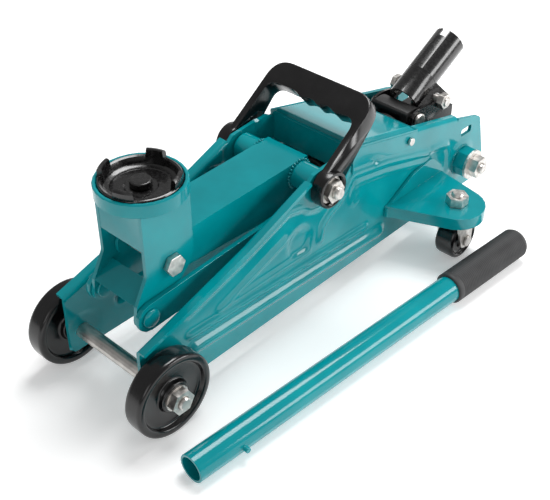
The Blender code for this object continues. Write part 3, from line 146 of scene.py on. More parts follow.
def blackEnamel():
    # thick black enamel on steel: glossy, a little lumpy over the skin beneath it
    look = blackLook
    made, tree, shader = startMaterial("blackEnamel", Metallic=0.0, IOR=1.5)
    shader.inputs["Coat Weight"].default_value = look["coat"]
    shader.inputs["Coat Roughness"].default_value = look["coatRoughness"]
    where = addNode(tree, "ShaderNodeTexCoord")
    skin = addNode(tree, "ShaderNodeTexNoise", {
        "Vector": (where, "Object"), "Scale": look["skinPerMetre"], "Detail": 3.0})
    tint = addNode(tree, "ShaderNodeValToRGB", {"Fac": (skin, "Fac")}, [
        (0.35, linearColour(look["dark"])), (0.7, linearColour(look["light"]))])
    tree.links.new(tint.outputs["Color"], shader.inputs["Base Color"])
    gloss = addNode(tree, "ShaderNodeMapRange", {
        "Value": (skin, "Fac"), "From Min": 0.3, "From Max": 0.7,
        "To Min": look["roughness"][0], "To Max": look["roughness"][1]})
    tree.links.new(gloss.outputs["Result"], shader.inputs["Roughness"])
    bump = addNode(tree, "ShaderNodeBump", {
        "Height": (skin, "Fac"), "Strength": 0.04, "Distance": 0.0003})
    tree.links.new(bump.outputs["Normal"], shader.inputs["Normal"])
    return made


def mouldedNylon(name, dark, light, roughness, grain):
    # injection-moulded nylon: black, with a fine eroded texture that greys its sheen;
    # rougher and greyer, it is the grip's rubber. grain is the texture's size in mm
    made, tree, shader = startMaterial(name, Metallic=0.0, IOR=1.53)
    where = addNode(tree, "ShaderNodeTexCoord")
    cloud = addNode(tree, "ShaderNodeTexNoise", {
        "Vector": (where, "Object"), "Scale": 60.0, "Detail": 4.0})    # clouds about 17 mm across
    tint = addNode(tree, "ShaderNodeValToRGB", {"Fac": (cloud, "Fac")}, [
        (0.35, linearColour(dark)), (0.7, linearColour(light))])
    tree.links.new(tint.outputs["Color"], shader.inputs["Base Color"])
    gloss = addNode(tree, "ShaderNodeMapRange", {
        "Value": (cloud, "Fac"), "From Min": 0.3, "From Max": 0.7,
        "To Min": roughness - 0.05, "To Max": roughness + 0.06})
    tree.links.new(gloss.outputs["Result"], shader.inputs["Roughness"])
    grit = addNode(tree, "ShaderNodeTexNoise", {
        "Vector": (where, "Object"), "Scale": 1000 / grain, "Detail": 2.0})
    bump = addNode(tree, "ShaderNodeBump", {
        "Height": (grit, "Fac"), "Strength": 0.15, "Distance": 0.0002})
    tree.links.new(bump.outputs["Normal"], shader.inputs["Normal"])
    return made


def platedSteel(name, dark, light, roughness, perMetre):
    # zinc plate, or turned steel: grey-white with a soft even mottle, dully mirrored
    made, tree, shader = startMaterial(name, Metallic=1.0)
    where = addNode(tree, "ShaderNodeTexCoord")
    mottle = addNode(tree, "ShaderNodeMapping", {"Vector": (where, "Object"), "Scale": (perMetre,) * 3})
    grain = addNode(tree, "ShaderNodeTexNoise", {
        "Vector": (mottle, "Vector"), "Scale": 1.0, "Detail": 3.0})
    tint = addNode(tree, "ShaderNodeValToRGB", {"Fac": (grain, "Fac")}, [
        (0.3, linearColour(dark)), (0.7, linearColour(light))])
    tree.links.new(tint.outputs["Color"], shader.inputs["Base Color"])
    gloss = addNode(tree, "ShaderNodeMapRange", {
        "Value": (grain, "Fac"), "From Min": 0.3, "From Max": 0.7,
        "To Min": roughness - 0.08, "To Max": roughness + 0.08})
    tree.links.new(gloss.outputs["Result"], shader.inputs["Roughness"])
    bump = addNode(tree, "ShaderNodeBump", {
        "Height": (grain, "Fac"), "Strength": 0.12, "Distance": 0.0002})
    tree.links.new(bump.outputs["Normal"], shader.inputs["Normal"])
    return made


def castIron():
    # black paint over a rough sand casting: coarse, dull grain
    look = ironLook
    made, tree, shader = startMaterial("castIron", Metallic=0.0, IOR=1.5)
    where = addNode(tree, "ShaderNodeTexCoord")
    sand = addNode(tree, "ShaderNodeTexNoise", {
        "Vector": (where, "Object"), "Scale": look["sandPerMetre"], "Detail": 4.0})
    tint = addNode(tree, "ShaderNodeValToRGB", {"Fac": (sand, "Fac")}, [
        (0.35, linearColour(look["dark"])), (0.7, linearColour(look["light"]))])
    tree.links.new(tint.outputs["Color"], shader.inputs["Base Color"])
    shader.inputs["Roughness"].default_value = look["roughness"]
    bump = addNode(tree, "ShaderNodeBump", {
        "Height": (sand, "Fac"), "Strength": 0.35, "Distance": 0.0005})
    tree.links.new(bump.outputs["Normal"], shader.inputs["Normal"])
    return made


print("materials")
finishes = {
    "teal_enamel": tealEnamel(),
    "black_enamel": blackEnamel(),
    "black_plastic": mouldedNylon("mouldedNylon", "#070607", "#0D0C0D", 0.2, 0.9),
    "grip_rubber": mouldedNylon("ribbedRubber", "#2B2B2C", "#3A3A3B", 0.62, 0.6),
    # the mottle is about 3 mm across on the plated parts and 11 mm on the turned ones
    "zinc_plate": platedSteel("zincPlatedSteel", "#B9B5B1", "#E2DFDA", 0.36, 300.0),
    "bright_steel": platedSteel("turnedSteel", "#B5B2AE", "#DEDAD5", 0.34, 90.0),
    "cast_iron": castIron(),
}
slotOf = {part["node"]: part["material_slot"] for part in frame["record"]["subparts"]}
bodies = frame["record"]["behaviour"]["bodies"]
bodyOf = {node: body for body, nodes in bodies.items() for node in nodes}
for nodeName, node in frame["nodes"].items():
    node.data.materials.clear()
    node.data.materials.append(finishes[slotOf[nodeName]])


# shaping helpers
acrossAxis = Vector((1, 0, 0))
upAxis = Vector((0, 0, 1))
mergeDistance = 2e-6       # metres


def meshFrom(bm, name):
    mesh = bpy.data.meshes.new(name)
    bm.to_mesh(mesh)
    bm.free()
    return mesh


def addObject(name, data):
    made = bpy.data.objects.new(name, data)
    bpy.context.scene.collection.objects.link(made)
    return made


def vertsIn(geometry):
    return [item for item in geometry if isinstance(item, bmesh.types.BMVert)]


def declarePiece(mesh, name, body, slot, replaced=(), bevelled=None, smoothAngle=35):
    # bevelled is a width in mm and a number of segments
    piece = addObject(name, mesh)
    mesh.materials.append(finishes[slot])
    mesh.shade_smooth()
    mesh.set_sharp_from_angle(angle=math.radians(smoothAngle))
    if bevelled:
        width, segments = bevelled
        bevel = piece.modifiers.new("softEdge", "BEVEL")
        bevel.width, bevel.segments = width * mm, segments
        bevel.limit_method, bevel.angle_limit = "ANGLE", math.radians(28)
        bevel.harden_normals = True
    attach(piece, body)
    if replaced:
        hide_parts(*replaced)
    return piece


def finishTurned(bm, name, node, smoothAngle):
    # a turned piece: its doubles merged and its faces pointed out, in place of one CAD node
    bmesh.ops.remove_doubles(bm, verts=bm.verts, dist=mergeDistance)
    bmesh.ops.recalc_face_normals(bm, faces=bm.faces)
    declarePiece(meshFrom(bm, name), name, bodyOf[node], slotOf[node], [node], smoothAngle=smoothAngle)


def turnProfile(bm, profile, centre, axis, steps, flip=1):
    # turns (radius, along) millimetre pairs round an axis; flip mirrors the profile along it
    out = axis.orthogonal().normalized()
    corners = [bm.verts.new(centre + (out * radius + axis * offset * flip) * mm)
               for radius, offset in profile]
    edges = [bm.edges.new(pair) for pair in zip(corners, corners[1:])]
    bmesh.ops.spin(bm, geom=corners + edges, cent=centre, axis=axis, angle=math.tau, steps=steps,
                   use_merge=True)


def softenedCopy(node, name, width):
    # a CAD node's own shape with its doubles merged, flats dissolved and edges rounded
    bm = bmesh.new()
    bm.from_mesh(frame["nodes"][node].data)
    bmesh.ops.remove_doubles(bm, verts=bm.verts, dist=mergeDistance)
    bmesh.ops.dissolve_limit(bm, angle_limit=math.radians(1.5), verts=bm.verts, edges=bm.edges)
    declarePiece(meshFrom(bm, name), name, bodyOf[node], slotOf[node], [node], (width, 2))


def looseObject(bm, name):
    bmesh.ops.recalc_face_normals(bm, faces=bm.faces)
    return addObject(name, meshFrom(bm, name))


def combine(base, tools, name):
    # joins or cuts helper objects one after another and returns the finished mesh
    for operation, tool in tools:
        boolean = base.modifiers.new(operation.title(), "BOOLEAN")
        boolean.operation, boolean.object, boolean.solver = operation, tool, "EXACT"
    bpy.context.view_layer.update()
    graph = bpy.context.evaluated_depsgraph_get()
    mesh = bpy.data.meshes.new_from_object(base.evaluated_get(graph))
    mesh.name = name
    for helper in [base] + [tool for _, tool in tools]:
        bpy.data.objects.remove(helper)
    return mesh


# wheels: moulded nylon with a rolled rim, a dished web and a round hub
frontWheel = {
    "radius": 33.0, "halfWidth": 8.0, "rimLip": 5.6, "dish": 4.6, "hubRadius": 12.2,
    "boreRadius": 6.4, "steps": 96,
}
casterWheel = {
    "radius": 18.0, "halfWidth": 8.8, "rimLip": 3.6, "dish": 3.2, "hubRadius": 6.4,
    "boreRadius": 3.4, "steps": 72,
}


def wheelProfile(look):
    # half of the section as (radius, along), from the bore out to the tread
    r, w, bore, hub = look["radius"], look["halfWidth"], look["boreRadius"], look["hubRadius"]
    rim, web = r - look["rimLip"], w - look["dish"]
    return [
        (bore, w - 0.8), (bore + 0.8, w),
        (hub - 1.2, w), (hub - 0.3, w - 0.4), (hub, w - 1.2),
        (hub + 0.3, web + 1.0), (hub + 1.2, web + 0.15), (hub + 2.6, web),
        (rim - 3.2, web), (rim - 1.6, web + 0.3), (rim - 0.8, web + 1.2),
        (rim - 0.4, w - 1.0), (rim + 0.4, w - 0.2), (rim + 1.2, w),
        (r - 2.6, w), (r - 1.2, w - 0.35), (r - 0.4, w - 1.2), (r - 0.05, w - 2.6), (r, w - 3.6),
    ]


def makeWheel(name, node, look):
    half = wheelProfile(look)
    section = half + [(radius, -along) for radius, along in reversed(half)]
    section.append(section[0])
    bm = bmesh.new()
    turnProfile(bm, section, middleOf(node), acrossAxis, look["steps"])
    finishTurned(bm, name, node, 50)


print("wheels")
for side, _ in sides:
    makeWheel("frontWheel" + side.title(), "front_wheel_" + side, frontWheel)
    makeWheel("casterWheel" + side.title(), "caster_wheel_" + side, casterWheel)


# side plates: sheet steel with rolled edges and pressed beads
sidePlate = {
    "inner": 38.5, "thickness": 3.0,
    "grid": 1.25, "gridSpan": ((-12, 397), (17, 131)),      # along the jack, then up
    "smoothing": 6,                                         # passes over the pressed beads
    # the outline as (along, up, corner radius), front to rear
    "outline": [(-12, 17, 6), (-12, 69, 0), (89, 99.5, 0), (153, 124.3, 0), (160, 127, 2),
                (197, 130.1, 2), (209, 127.15, 0), (349, 92.65, 0), (350.3, 92.3, 1),
                (384.3, 82, 9), (396.3, 36.7, 2), (393.3, 17, 7)],
    "frontRoll": [(-12, 69), (89, 99.5), (153, 124.3)], "frontRollWidth": 7.0,
    "rearRoll": [(209, 127.15), (349, 92.65)], "rearRollWidth": 6.0,
    "slot": (364.3, 75.0, 15.0, 7.0), "slotRound": 2,       # centre, length and height
    # each bead: its points, its half width and how far it stands out
    "beads": [
        ([(36, 41.5), (140, 37.0), (246, 31.0)], 6.6, 2.8),
        ([(33, 55.0), (120, 50.5), (226, 45.0)], 4.0, 1.9),
        ([(131, 84), (62, 60.5), (110, 60.2), (157, 59.6)], 3.4, 1.3),
        ([(33, 75), (90, 92), (135, 107.5), (150, 104), (157, 98.5), (168, 96.5), (180, 99),
          (189, 106)], 3.8, 1.7),
        ([(170, 62), (172, 75), (181, 82.5), (192, 87), (201, 97), (206, 104), (250, 95.4),
          (308, 78.5)], 3.6, 1.7),
        ([(212, 95), (250, 86.8), (309, 70.0)], 3.6, 1.5),
        ([(312, 79.0), (326, 76.6), (334, 73.5), (338.5, 66), (340.5, 46)], 3.6, 1.5),
        ([(206, 84), (207.5, 90.5), (211, 93), (214.5, 90.5), (216, 84), (214.5, 77.5), (211, 75),
          (207.5, 77.5), (206, 84)], 2.2, 0.8),
        ([(208.5, 80), (213.5, 88)], 2.0, 0.6),
    ],
    # round pressings: centre, radius, width of the slope, height (below nought is dished)
    "rounds": [((147, 73.5), 9.5, 5.0, -1.6), ((169, 114.5), 19.5, 4.0, 1.2),
               ((358.8, 48.7), 15.5, 4.0, 0.9), ((234.9, 104.0), 2.2, 1.6, -1.2),
               ((0, 33), 14.0, 3.5, 0.9)],
    "rollRadius": 2.6,
    "rise": 1.6,      # scales every bead's height
}


def cornered(points, segments=6):
    # rounds each (u, v, radius) corner of a closed outline
    line = []
    for i, (u, v, radius) in enumerate(points):
        here = Vector((u, v))
        if not radius:
            line.append(here)
            continue
        before = (Vector(points[i - 1][:2]) - here).normalized()
        after = (Vector(points[(i + 1) % len(points)][:2]) - here).normalized()
        reach = radius / math.tan(before.angle(after) / 2)
        start, end = here + before * reach, here + after * reach
        for step in range(segments + 1):
            t = step / segments
            line.append(start * (1 - t) ** 2 + here * (2 * t * (1 - t)) + end * t ** 2)
    return line


def lineDistance(y, z, points):
    # how far a point is from the nearest stretch of a line
    best = math.inf
    for (y0, z0), (y1, z1) in zip(points, points[1:]):
        runY, runZ = y1 - y0, z1 - z0
        along = ((y - y0) * runY + (z - z0) * runZ) / (runY * runY + runZ * runZ)
        t = max(0.0, min(1.0, along))
        best = min(best, math.hypot(y - y0 - runY * t, z - z0 - runZ * t))
    return best


def pressedHeight(look, y, z):
    # how far the sheet stands out here, in mm: each slope is half a cosine wave
    height = 0.0
    for points, width, rise in look["beads"]:
        reached = [p[0] for p in points]
        if not min(reached) - width < y < max(reached) + width:
            continue
        away = lineDistance(y, z, points)
        if away < width:
            height = max(height, look["rise"] * rise * 0.5 * (1 + math.cos(math.pi * away / width)))
    for (cy, cz), radius, slope, rise in look["rounds"]:
        away = math.hypot(y - cy, z - cz)
        if away < radius + slope:
            down = math.pi * (away - radius) / slope
            share = 1.0 if away < radius else 0.5 * (1 + math.cos(down))
            height = height + rise * share if rise < 0 else max(height, rise * share)
    return height


def rollEdge(bm, path, width, way):
    # turns the sheet over along one stretch of its outline: draws those edges out sideways
    # and rounds the bend
    picked = []
    for edge in bm.edges:
        if edge.is_boundary:
            ends = [(v.co - layoutOrigin) / mm for v in edge.verts]
            if all(lineDistance(end.y, end.z, path) < 0.05 for end in ends):
                picked.append(edge)
    grown = bmesh.ops.extrude_edge_only(bm, edges=picked)["geom"]
    bmesh.ops.translate(bm, vec=acrossAxis * way * width * mm, verts=vertsIn(grown))
    bmesh.ops.bevel(bm, geom=picked, offset=sidePlate["rollRadius"] * mm, segments=5,
                    affect="EDGES", profile=0.5, material=-1)


def makeSidePlate(side, sign):
    look = sidePlate
    middle = (look["inner"] + look["thickness"] / 2) * sign
    bm = bmesh.new()
    corners = [bm.verts.new(place(middle, y, z)) for y, z in cornered(look["outline"])]
    bm.faces.new(corners)
    rollEdge(bm, look["frontRoll"], look["frontRollWidth"], sign)
    rollEdge(bm, look["rearRoll"], look["rearRollWidth"], -sign)
    # cuts the sheet into a fine grid, so that the beads can be pressed into it
    for axis, (low, high) in zip((Vector((0, 1, 0)), upAxis), look["gridSpan"]):
        at = low + look["grid"] / 2
        while at < high:
            bmesh.ops.bisect_plane(bm, geom=bm.verts[:] + bm.edges[:] + bm.faces[:], dist=1e-7,
                                   plane_co=layoutOrigin + axis * at * mm, plane_no=axis)
            at += look["grid"]
    flat = [v for v in bm.verts if abs((v.co.x - layoutOrigin.x) / mm - middle) < 0.01]
    for vertex in flat:
        offset = (vertex.co - layoutOrigin) / mm
        vertex.co.x += sign * pressedHeight(look, offset.y, offset.z) * mm
    inside = [v for v in flat if not v.is_boundary]
    for _ in range(look["smoothing"]):
        bmesh.ops.smooth_vert(bm, verts=inside, factor=0.5, use_axis_x=True, use_axis_y=False,
                              use_axis_z=False)
    bmesh.ops.remove_doubles(bm, verts=bm.verts, dist=10 * mergeDistance)
    sheet = looseObject(bm, "sheet")
    wall = sheet.modifiers.new("sheetThickness", "SOLIDIFY")
    wall.thickness, wall.offset = look["thickness"] * mm, 0.0
    y, z, length, height = look["slot"]
    cutReach = 12      # mm that the slot's cutter reaches past the sheet on each side
    slot = bmesh.new()
    corners = [(y + i * length / 2, z + j * height / 2, look["slotRound"])
               for i, j in ((-1, -1), (1, -1), (1, 1), (-1, 1))]
    face = slot.faces.new([slot.verts.new(place(middle - cutReach, u, v))
                           for u, v in cornered(corners)])
    grown = bmesh.ops.extrude_face_region(slot, geom=[face])["geom"]
    bmesh.ops.translate(slot, vec=acrossAxis * 2 * cutReach * mm, verts=vertsIn(grown))
    name = "sidePlate" + side.title()
    mesh = combine(sheet, [("DIFFERENCE", looseObject(slot, "slot"))], name)
    declarePiece(mesh, name, "frame", "teal_enamel", ["side_plate_" + side], (0.6, 2), 50)


print("side plates")
for side, sign in sides:
    makeSidePlate(side, sign)


# top cover: a pressed panel with a step round it, side flaps over the plates and a lip in front
topCover = {
    "front": (205.0, 130.7), "rear": (287.0, 110.5),       # along and up
    "halfWidth": 43.0, "sheet": 1.6, "flap": 17.0, "lip": 26.0,
    "panelMargin": 9.0, "panelRise": 2.4, "grooveWidth": 3.4, "grooveDepth": 1.2,
    "bend": 2.2, "edgeRound": 0.7,
}


def makeTopCover():
    look = topCover
    (y0, z0), (y1, z1) = look["front"], look["rear"]
    half = look["halfWidth"]
    bm = bmesh.new()
    corners = ((-half, y0, z0), (half, y0, z0), (half, y1, z1), (-half, y1, z1))
    top = bm.faces.new([bm.verts.new(place(*corner)) for corner in corners])
    up = Vector((0, z0 - z1, y1 - y0)).normalized()
    # border, groove, raised panel: one inset after another, each lifted by its own step
    steps = ((look["panelMargin"] - look["grooveWidth"], 0.0), (0.9, -look["grooveDepth"]),
             (look["grooveWidth"] - 1.2, 0.0), (1.6, look["panelRise"]), (1.2, 0.35))
    for thickness, rise in steps:
        bmesh.ops.inset_region(bm, faces=[top], thickness=thickness * mm, depth=0,
                               use_boundary=True, use_even_offset=True)
        bmesh.ops.translate(bm, vec=up * rise * mm, verts=top.verts)
    outer = [edge for edge in bm.edges if edge.is_boundary]
    bends = []
    for edge in outer:
        middle = (edge.verts[0].co + edge.verts[1].co) / 2 - layoutOrigin
        if abs(middle.x) > (half - 1) * mm:
            drop = look["flap"]
        elif middle.y < (y0 + 1) * mm:
            drop = look["lip"]
        else:
            continue
        grown = bmesh.ops.extrude_edge_only(bm, edges=[edge])["geom"]
        bmesh.ops.translate(bm, vec=-drop * mm * upAxis, verts=vertsIn(grown))
        bends.append(edge)
    bmesh.ops.bevel(bm, geom=bends, offset=look["bend"] * mm, segments=4, affect="EDGES",
                    profile=0.5, material=-1)
    bmesh.ops.recalc_face_normals(bm, faces=bm.faces)
    if max(bm.faces, key=lambda face: face.calc_area()).normal.z < 0:
        bmesh.ops.reverse_faces(bm, faces=bm.faces)
    cover = declarePiece(meshFrom(bm, "topCover"), "topCover", "frame", "teal_enamel", ["top_cover"],
                         smoothAngle=50)
    sheet = cover.modifiers.new("sheetThickness", "SOLIDIFY")
    sheet.thickness, sheet.offset = look["sheet"] * mm, -1
    soft = cover.modifiers.new("pressedEdge", "BEVEL")
    soft.width, soft.segments = look["edgeRound"] * mm, 3
    soft.limit_method, soft.angle_limit = "ANGLE", math.radians(20)
    soft.harden_normals = True


print("top cover")
makeTopCover()


# grip: ribbed rubber sleeve, closed at its outer end
barGrip = {
    "length": 90.0, "radius": 13.0, "ribs": 44, "ribDepth": 0.5, "endRound": 3.0, "steps": 64,
    "bore": 11.05,
}
# the bar's ends, as (across, along)
barLine = {"front": (99.7, -24.0), "rear": (123.0, 331.0), "radius": 11.0}


def barAxis():
    # the bar's front end on the floor, its direction and its length; it rises a little to lie
    # on its grip
    front = place(*barLine["front"], barLine["radius"])
    rear = place(*barLine["rear"], barLine["radius"])
    length = (rear - front).length
    lift = (barGrip["radius"] - barLine["radius"]) * mm / (length - barGrip["length"] * mm)
    return front, ((rear - front).normalized() + upAxis * lift).normalized(), length


def makeGrip():
    look = barGrip
    front, along, length = barAxis()
    end = front + along * length
    reach, radius, lip = look["length"], look["radius"], look["endRound"]
    section = [(0, 0), (radius - lip, 0), (radius - lip * 0.35, -lip * 0.3), (radius, -lip)]
    pitch = (reach - 2 * lip - 4) / look["ribs"]
    for rib in range(look["ribs"]):
        start = -lip - 2 - rib * pitch
        section += [(radius, start), (radius - look["ribDepth"], start - pitch * 0.3),
                    (radius - look["ribDepth"], start - pitch * 0.55), (radius, start - pitch * 0.85)]
    section += [(radius, -reach + 1.2), (radius - 0.8, -reach), (look["bore"], -reach)]
    bm = bmesh.new()
    turnProfile(bm, section, end, along, look["steps"])
    finishTurned(bm, "ribbedGrip", "handle_grip", 60)


print("grip")
makeGrip()


# carrying handle: a moulded bail with round bosses, thinning legs and finger scallops
carryingHandle = {
    "lean": 49.0,      # degrees back from upright
    "reach": 74.0, "legInner": 44.0, "legWidth": 5.8, "gripHeight": 21.0, "foot": 5.0,
    "depth": 27.0, "thinning": 0.58,       # the share of the depth lost by the far edge
    "scallop": 16.5, "firstRidge": 24.0, "ridges": 3, "scallopDepth": 3.6,
    "bossRadius": 14.5, "bossInner": 43.7, "bossWidth": 10.9,
    "recessRadius": 12.1, "recessDepth": 5.5, "bore": 6.4, "edgeRound": 1.6, "steps": 64,
}


def handleOutline(look):
    edge, inner = look["legInner"] + look["legWidth"], look["legInner"]
    reach, low, foot = look["reach"], look["reach"] - look["gripHeight"], look["foot"]
    under = [(inner - 0.5, low + 1.5, 10)]
    for row in range(look["ridges"]):
        ridge = look["firstRidge"] - row * look["scallop"]
        under.append((ridge, low - look["scallopDepth"] / 2, 5.5))
        under.append((ridge - look["scallop"] / 2, low + look["scallopDepth"] / 2, 13))
    under += [(0.5 - inner, low + 1.5, 10)]
    return [(-edge, foot, 0), (-edge, reach, 17), (edge, reach, 17), (edge, foot, 0),
            (inner, foot, 0), *under, (-inner, foot, 0)]


def makeCarryingHandle():
    look = carryingHandle
    pivot = middleOf("arm_shaft")
    lean = math.radians(look["lean"])
    up = Vector((0, math.sin(lean), math.cos(lean)))
    ahead = Vector((0, -math.cos(lean), math.sin(lean)))
    bm = bmesh.new()
    line = cornered(handleOutline(look), 8)
    face = bm.faces.new([bm.verts.new((u * mm, v * mm, -look["depth"] / 2 * mm)) for u, v in line])
    grown = bmesh.ops.extrude_face_region(bm, geom=[face])["geom"]
    bmesh.ops.translate(bm, vec=Vector((0, 0, look["depth"] * mm)), verts=vertsIn(grown))
    rims = [edge for edge in bm.edges if abs(edge.verts[0].co.z - edge.verts[1].co.z) < 1e-6]
    bmesh.ops.bevel(bm, geom=rims, offset=look["edgeRound"] * mm, segments=4, affect="EDGES",
                    profile=0.5, material=-1, clamp_overlap=True)
    for vertex in bm.verts:
        u, v, n = vertex.co
        n *= 1 - look["thinning"] * v / (look["reach"] * mm)
        vertex.co = Vector((pivot.x + u, pivot.y, pivot.z)) + up * v + ahead * n
    bail = looseObject(bm, "bail")
    tools = []
    for _, sign in sides:
        r, inner = look["bossRadius"], look["bossInner"]
        outer = inner + look["bossWidth"]
        seat, sunk, bore = outer - look["recessDepth"], look["recessRadius"], look["bore"]
        boss = bmesh.new()
        turnProfile(boss, [(0, inner), (r - 1.2, inner), (r - 0.3, inner + 0.4), (r, inner + 1.2),
                           (r, outer - 1.2), (r - 0.35, outer - 0.35), (r - 1.2, outer), (0, outer)],
                    pivot, acrossAxis, look["steps"], sign)
        tools.append(("UNION", looseObject(boss, "boss")))
        recess = bmesh.new()
        turnProfile(recess, [(0, inner - 2), (bore, inner - 2), (bore, seat), (sunk, seat),
                             (sunk, outer + 2), (0, outer + 2)],
                    pivot, acrossAxis, look["steps"], sign)
        tools.append(("DIFFERENCE", looseObject(recess, "recess")))
    mesh = combine(bail, tools, "carryingHandle")
    declarePiece(mesh, "carryingHandle", "carrying_handle", "black_plastic", ["carrying_handle"],
                 smoothAngle=40)


print("carrying handle")
makeCarryingHandle()


# weld beads: little scales of filler laid round a joint
weldBead = {"radius": 1.5, "pitch": 1.9, "flatness": 0.75, "ringSteps": 24}
# each ring: how far out it lies, its centre as (along, up), its radius, and its start and end
# in degrees
weldRings = {
    "armWelds": {"body": "arm", "across": 20.4, "centre": (169, 114.5), "radius": 11.4,
                 "turn": (-60, 240)},
    "spacerWelds": {"body": "frame", "across": 42.1, "centre": (358.8, 48.7), "radius": 13.2,
                    "turn": (-180, 180)},
}


def weldAlong(bm, points):
    # a row of flattened drops
    size = weldBead["radius"] * mm
    drop = Matrix.Diagonal((size, size, size * weldBead["flatness"], 1))
    for start, end in zip(points, points[1:]):
        run = end - start
        turn = run.to_track_quat("Z", "Y").to_matrix().to_4x4()
        count = max(1, round(run.length / (weldBead["pitch"] * mm)))
        for step in range(count):
            at = Matrix.Translation(start.lerp(end, step / count))
            bmesh.ops.create_icosphere(bm, subdivisions=2, radius=1, matrix=at @ turn @ drop)


def ringRun(ring, sign):
    start, stop = ring["turn"]
    y, z = ring["centre"]
    points = []
    for step in range(weldBead["ringSteps"] + 1):
        turn = math.radians(start + (stop - start) * step / weldBead["ringSteps"])
        points.append(place(sign * ring["across"], y + ring["radius"] * math.cos(turn),
                            z + ring["radius"] * math.sin(turn)))
    return points


print("welds")
for name, ring in weldRings.items():
    bm = bmesh.new()
    for _, sign in sides:
        weldAlong(bm, ringRun(ring, sign))
    declarePiece(meshFrom(bm, name), name, ring["body"], "teal_enamel", smoothAngle=180)


# saddle: a cast cup with a low wall, four tall lugs and a shallow ring sunk round its middle
saddleCup = {
    "innerFloor": 160.5, "base": 157.6, "rim": 166.9, "top": 172.6,        # heights
    "outer": 28.6, "wall": 2.6, "button": 7.8, "steps": 96,
    "lugs": 4, "lugTurn": 26.0, "lugSpan": 34.0, "lugThickness": 3.6,
    "lugTaper": 0.22,      # the share of a lug's span lost by its top
}


def makeLug(axis, start):
    # a block swept round part of the wall, tapering upward
    look = saddleCup
    r, thick, floor, top = look["outer"], look["lugThickness"], look["innerFloor"] + 0.2, look["top"]
    span = math.radians(look["lugSpan"])
    lug = bmesh.new()
    out = Vector((math.cos(start), math.sin(start), 0))
    corners = [(r - thick - 0.9, floor), (r - 0.15, floor), (r - 0.15, top - 1.4),
               (r - 1.0, top - 0.3), (r - 1.7, top), (r - thick + 0.6, top), (r - thick, top - 0.7)]
    section = lug.faces.new([lug.verts.new(axis + (out * radius + upAxis * z) * mm)
                             for radius, z in corners])
    bmesh.ops.spin(lug, geom=[section], cent=axis, axis=upAxis, angle=span, steps=12)
    for vertex in lug.verts:
        share = (vertex.co.z / mm - look["rim"]) / (top - look["rim"])
        if share > 0:
            offset = vertex.co - axis
            turned = math.atan2(offset.y, offset.x) - start - span / 2
            turned = math.atan2(math.sin(turned), math.cos(turned))
            vertex.co = axis + Matrix.Rotation(-turned * look["lugTaper"] * share, 3, "Z") @ offset
    return looseObject(lug, "lug")


def makeSaddle():
    look = saddleCup
    middle = middleOf("saddle")
    axis = Vector((middle.x, middle.y, 0))
    r, inside, button = look["outer"], look["outer"] - look["wall"], look["button"]
    base, rim, floor = look["base"], look["rim"], look["innerFloor"]
    bm = bmesh.new()
    turnProfile(bm, [(0, base), (r - 2, base), (r - 0.6, base + 0.6), (r, base + 2),
                     (r, rim - 1), (r - 0.4, rim - 0.3), (r - 1.2, rim), (inside, rim - 0.6),
                     (inside - 0.5, rim - 1.8), (inside - 1.4, floor + 1.4),
                     (inside - 2.6, floor + 0.5), (inside - 5, floor), (inside - 5.6, floor - 0.7),
                     (button + 4, floor - 0.7), (button + 3.2, floor), (0, floor)],
                axis, upAxis, look["steps"])
    cup = looseObject(bm, "cup")
    starts = [math.radians(look["lugTurn"] + number * 90 - look["lugSpan"] / 2)
              for number in range(look["lugs"])]
    mesh = combine(cup, [("UNION", makeLug(axis, start)) for start in starts], "saddleCup")
    declarePiece(mesh, "saddleCup", "saddle", "black_enamel", ["saddle"], (0.6, 3), 40)


print("saddle")
makeSaddle()


# parts that keep the CAD's own shape and get rounded edges
softEdges = {      # the width of each bevel in mm
    "lift_arm": 1.2, "tie_rod_left": 1.0, "tie_rod_right": 1.0, "saddle_carrier": 0.8,
    "rear_cross_plate": 0.6, "caster_ear_left": 0.9, "caster_ear_right": 0.9,
    "arm_spacer_left": 0.8, "arm_spacer_right": 0.8, "rear_spacer_left": 0.7,
    "rear_spacer_right": 0.7, "handle_tube": 0.4, "pump_socket": 0.6, "pump_block": 1.6,
    "ram_cylinder": 0.8, "release_valve": 0.5, "caster_left_fork": 0.5, "caster_right_fork": 0.5,
    "carrier_bolt": 0.5, "carrier_pin_left": 0.5, "carrier_pin_right": 0.5,
    "cover_screw_left": 0.4, "cover_screw_right": 0.4, "tie_stud_left": 0.6, "tie_stud_right": 0.6,
    "lever_pin": 0.4, "socket_pin": 0.4, "socket_bolt": 0.5, "socket_roller": 0.6,
    "saddle_screw": 0.5, "plunger": 0.4, "ram": 0.4, "rear_bolt": 0.4,
    "caster_left_axle": 0.3, "caster_right_axle": 0.3,
}


def camelName(node):
    # a one-word node gains a second word, since its own name is taken
    first, *rest = node.split("_")
    return first + ("".join(word.title() for word in rest) or "Body")


print("parts with softened edges")
for node, width in softEdges.items():
    softenedCopy(node, camelName(node), width)


# floor, light and camera
studioSetup = {
    "floorColour": "#FCFCFC", "floorSize": 24.0, "floorGlow": 0.3,
    "worldColour": "#FFFFFF", "worldStrength": 0.32,
    "cameraAt": (440.2, -305.7, 528.3), "azimuth": 43.14, "elevation": 37.48, "roll": -0.2,
    "lens": 66.02,
}
# place and aim in the jack's layout in mm, size in metres, power in watts
softboxes = {
    "overheadSoftbox": {"at": (-100, 500, 1100), "aim": (0, 180, 60),
        "size": (0.55, 0.55), "power": 9.5},
    "rearSoftbox": {"at": (-750, 1250, 430), "aim": (0, 180, 80),
        "size": (0.9, 0.35), "power": 1.1},
    "rightSoftbox": {"at": (900, 850, 450), "aim": (0, 180, 60),
        "size": (0.9, 0.35), "power": 8},
    "frontFill": {"at": (500, -1100, 700), "aim": (0, 100, 60),
        "size": (0.6, 0.6), "power": 2},
}


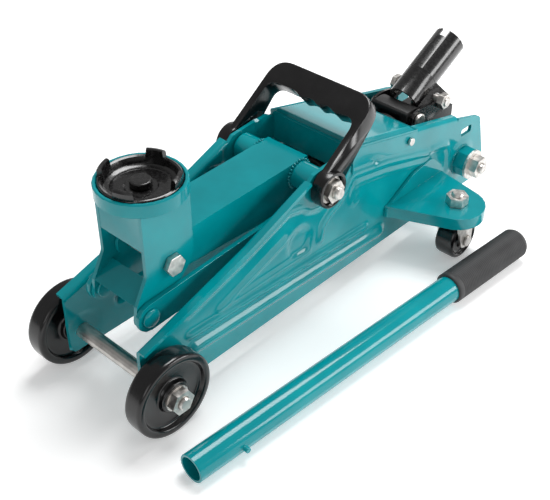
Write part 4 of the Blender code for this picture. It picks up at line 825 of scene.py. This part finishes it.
def addSoftbox(name, setup):
    light = bpy.data.lights.new(name, "AREA")
    light.shape = "RECTANGLE"
    light.size, light.size_y = setup["size"]
    light.energy = setup["power"]
    lamp = addObject(name, light)
    lamp.location = place(*setup["at"])
    aim = place(*setup["aim"]) - lamp.location
    lamp.rotation_euler = aim.to_track_quat("-Z", "Y").to_euler()


def makeStudio():
    setup = studioSetup
    bm = bmesh.new()
    bmesh.ops.create_grid(bm, x_segments=1, y_segments=1, size=setup["floorSize"] / 2)
    floor = addObject("studioFloor", meshFrom(bm, "studioFloor"))
    paper, _, shader = startMaterial("paperSweep", Roughness=0.9)
    shader.inputs["Base Color"].default_value = linearColour(setup["floorColour"])
    # a faint glow keeps the paper pale where the object shades it
    shader.inputs["Emission Color"].default_value = linearColour(setup["floorColour"])
    shader.inputs["Emission Strength"].default_value = setup["floorGlow"]
    floor.data.materials.append(paper)
    world = bpy.data.worlds.new("studioWorld")
    world.use_nodes = True
    backdrop = world.node_tree.nodes["Background"]
    backdrop.inputs["Color"].default_value = linearColour(setup["worldColour"])
    backdrop.inputs["Strength"].default_value = setup["worldStrength"]
    bpy.context.scene.world = world
    for name, softbox in softboxes.items():
        addSoftbox(name, softbox)
    # true whites and unmuted enamel
    bpy.context.scene.view_settings.view_transform = "Standard"


def makeCamera():
    setup = studioSetup
    around, above = math.radians(setup["azimuth"]), math.radians(setup["elevation"])
    level = math.cos(above)
    back = Vector((math.sin(around) * level, -math.cos(around) * level, math.sin(above)))
    right = Vector((math.cos(around), math.sin(around), 0))
    up = back.cross(right)
    roll = Matrix.Rotation(math.radians(setup["roll"]), 4, "Z")
    turn = Matrix((right, up, back)).transposed().to_4x4() @ roll
    lens = bpy.data.cameras.new("studioCamera")
    lens.lens = setup["lens"]
    lens.sensor_width = 36
    lens.clip_start, lens.clip_end = 0.05, 50
    camera = addObject("studioCamera", lens)
    camera.matrix_world = Matrix.Translation(place(*setup["cameraAt"])) @ turn
    bpy.context.scene.camera = camera


print("studio")
makeStudio()
makeCamera()

print("finish")
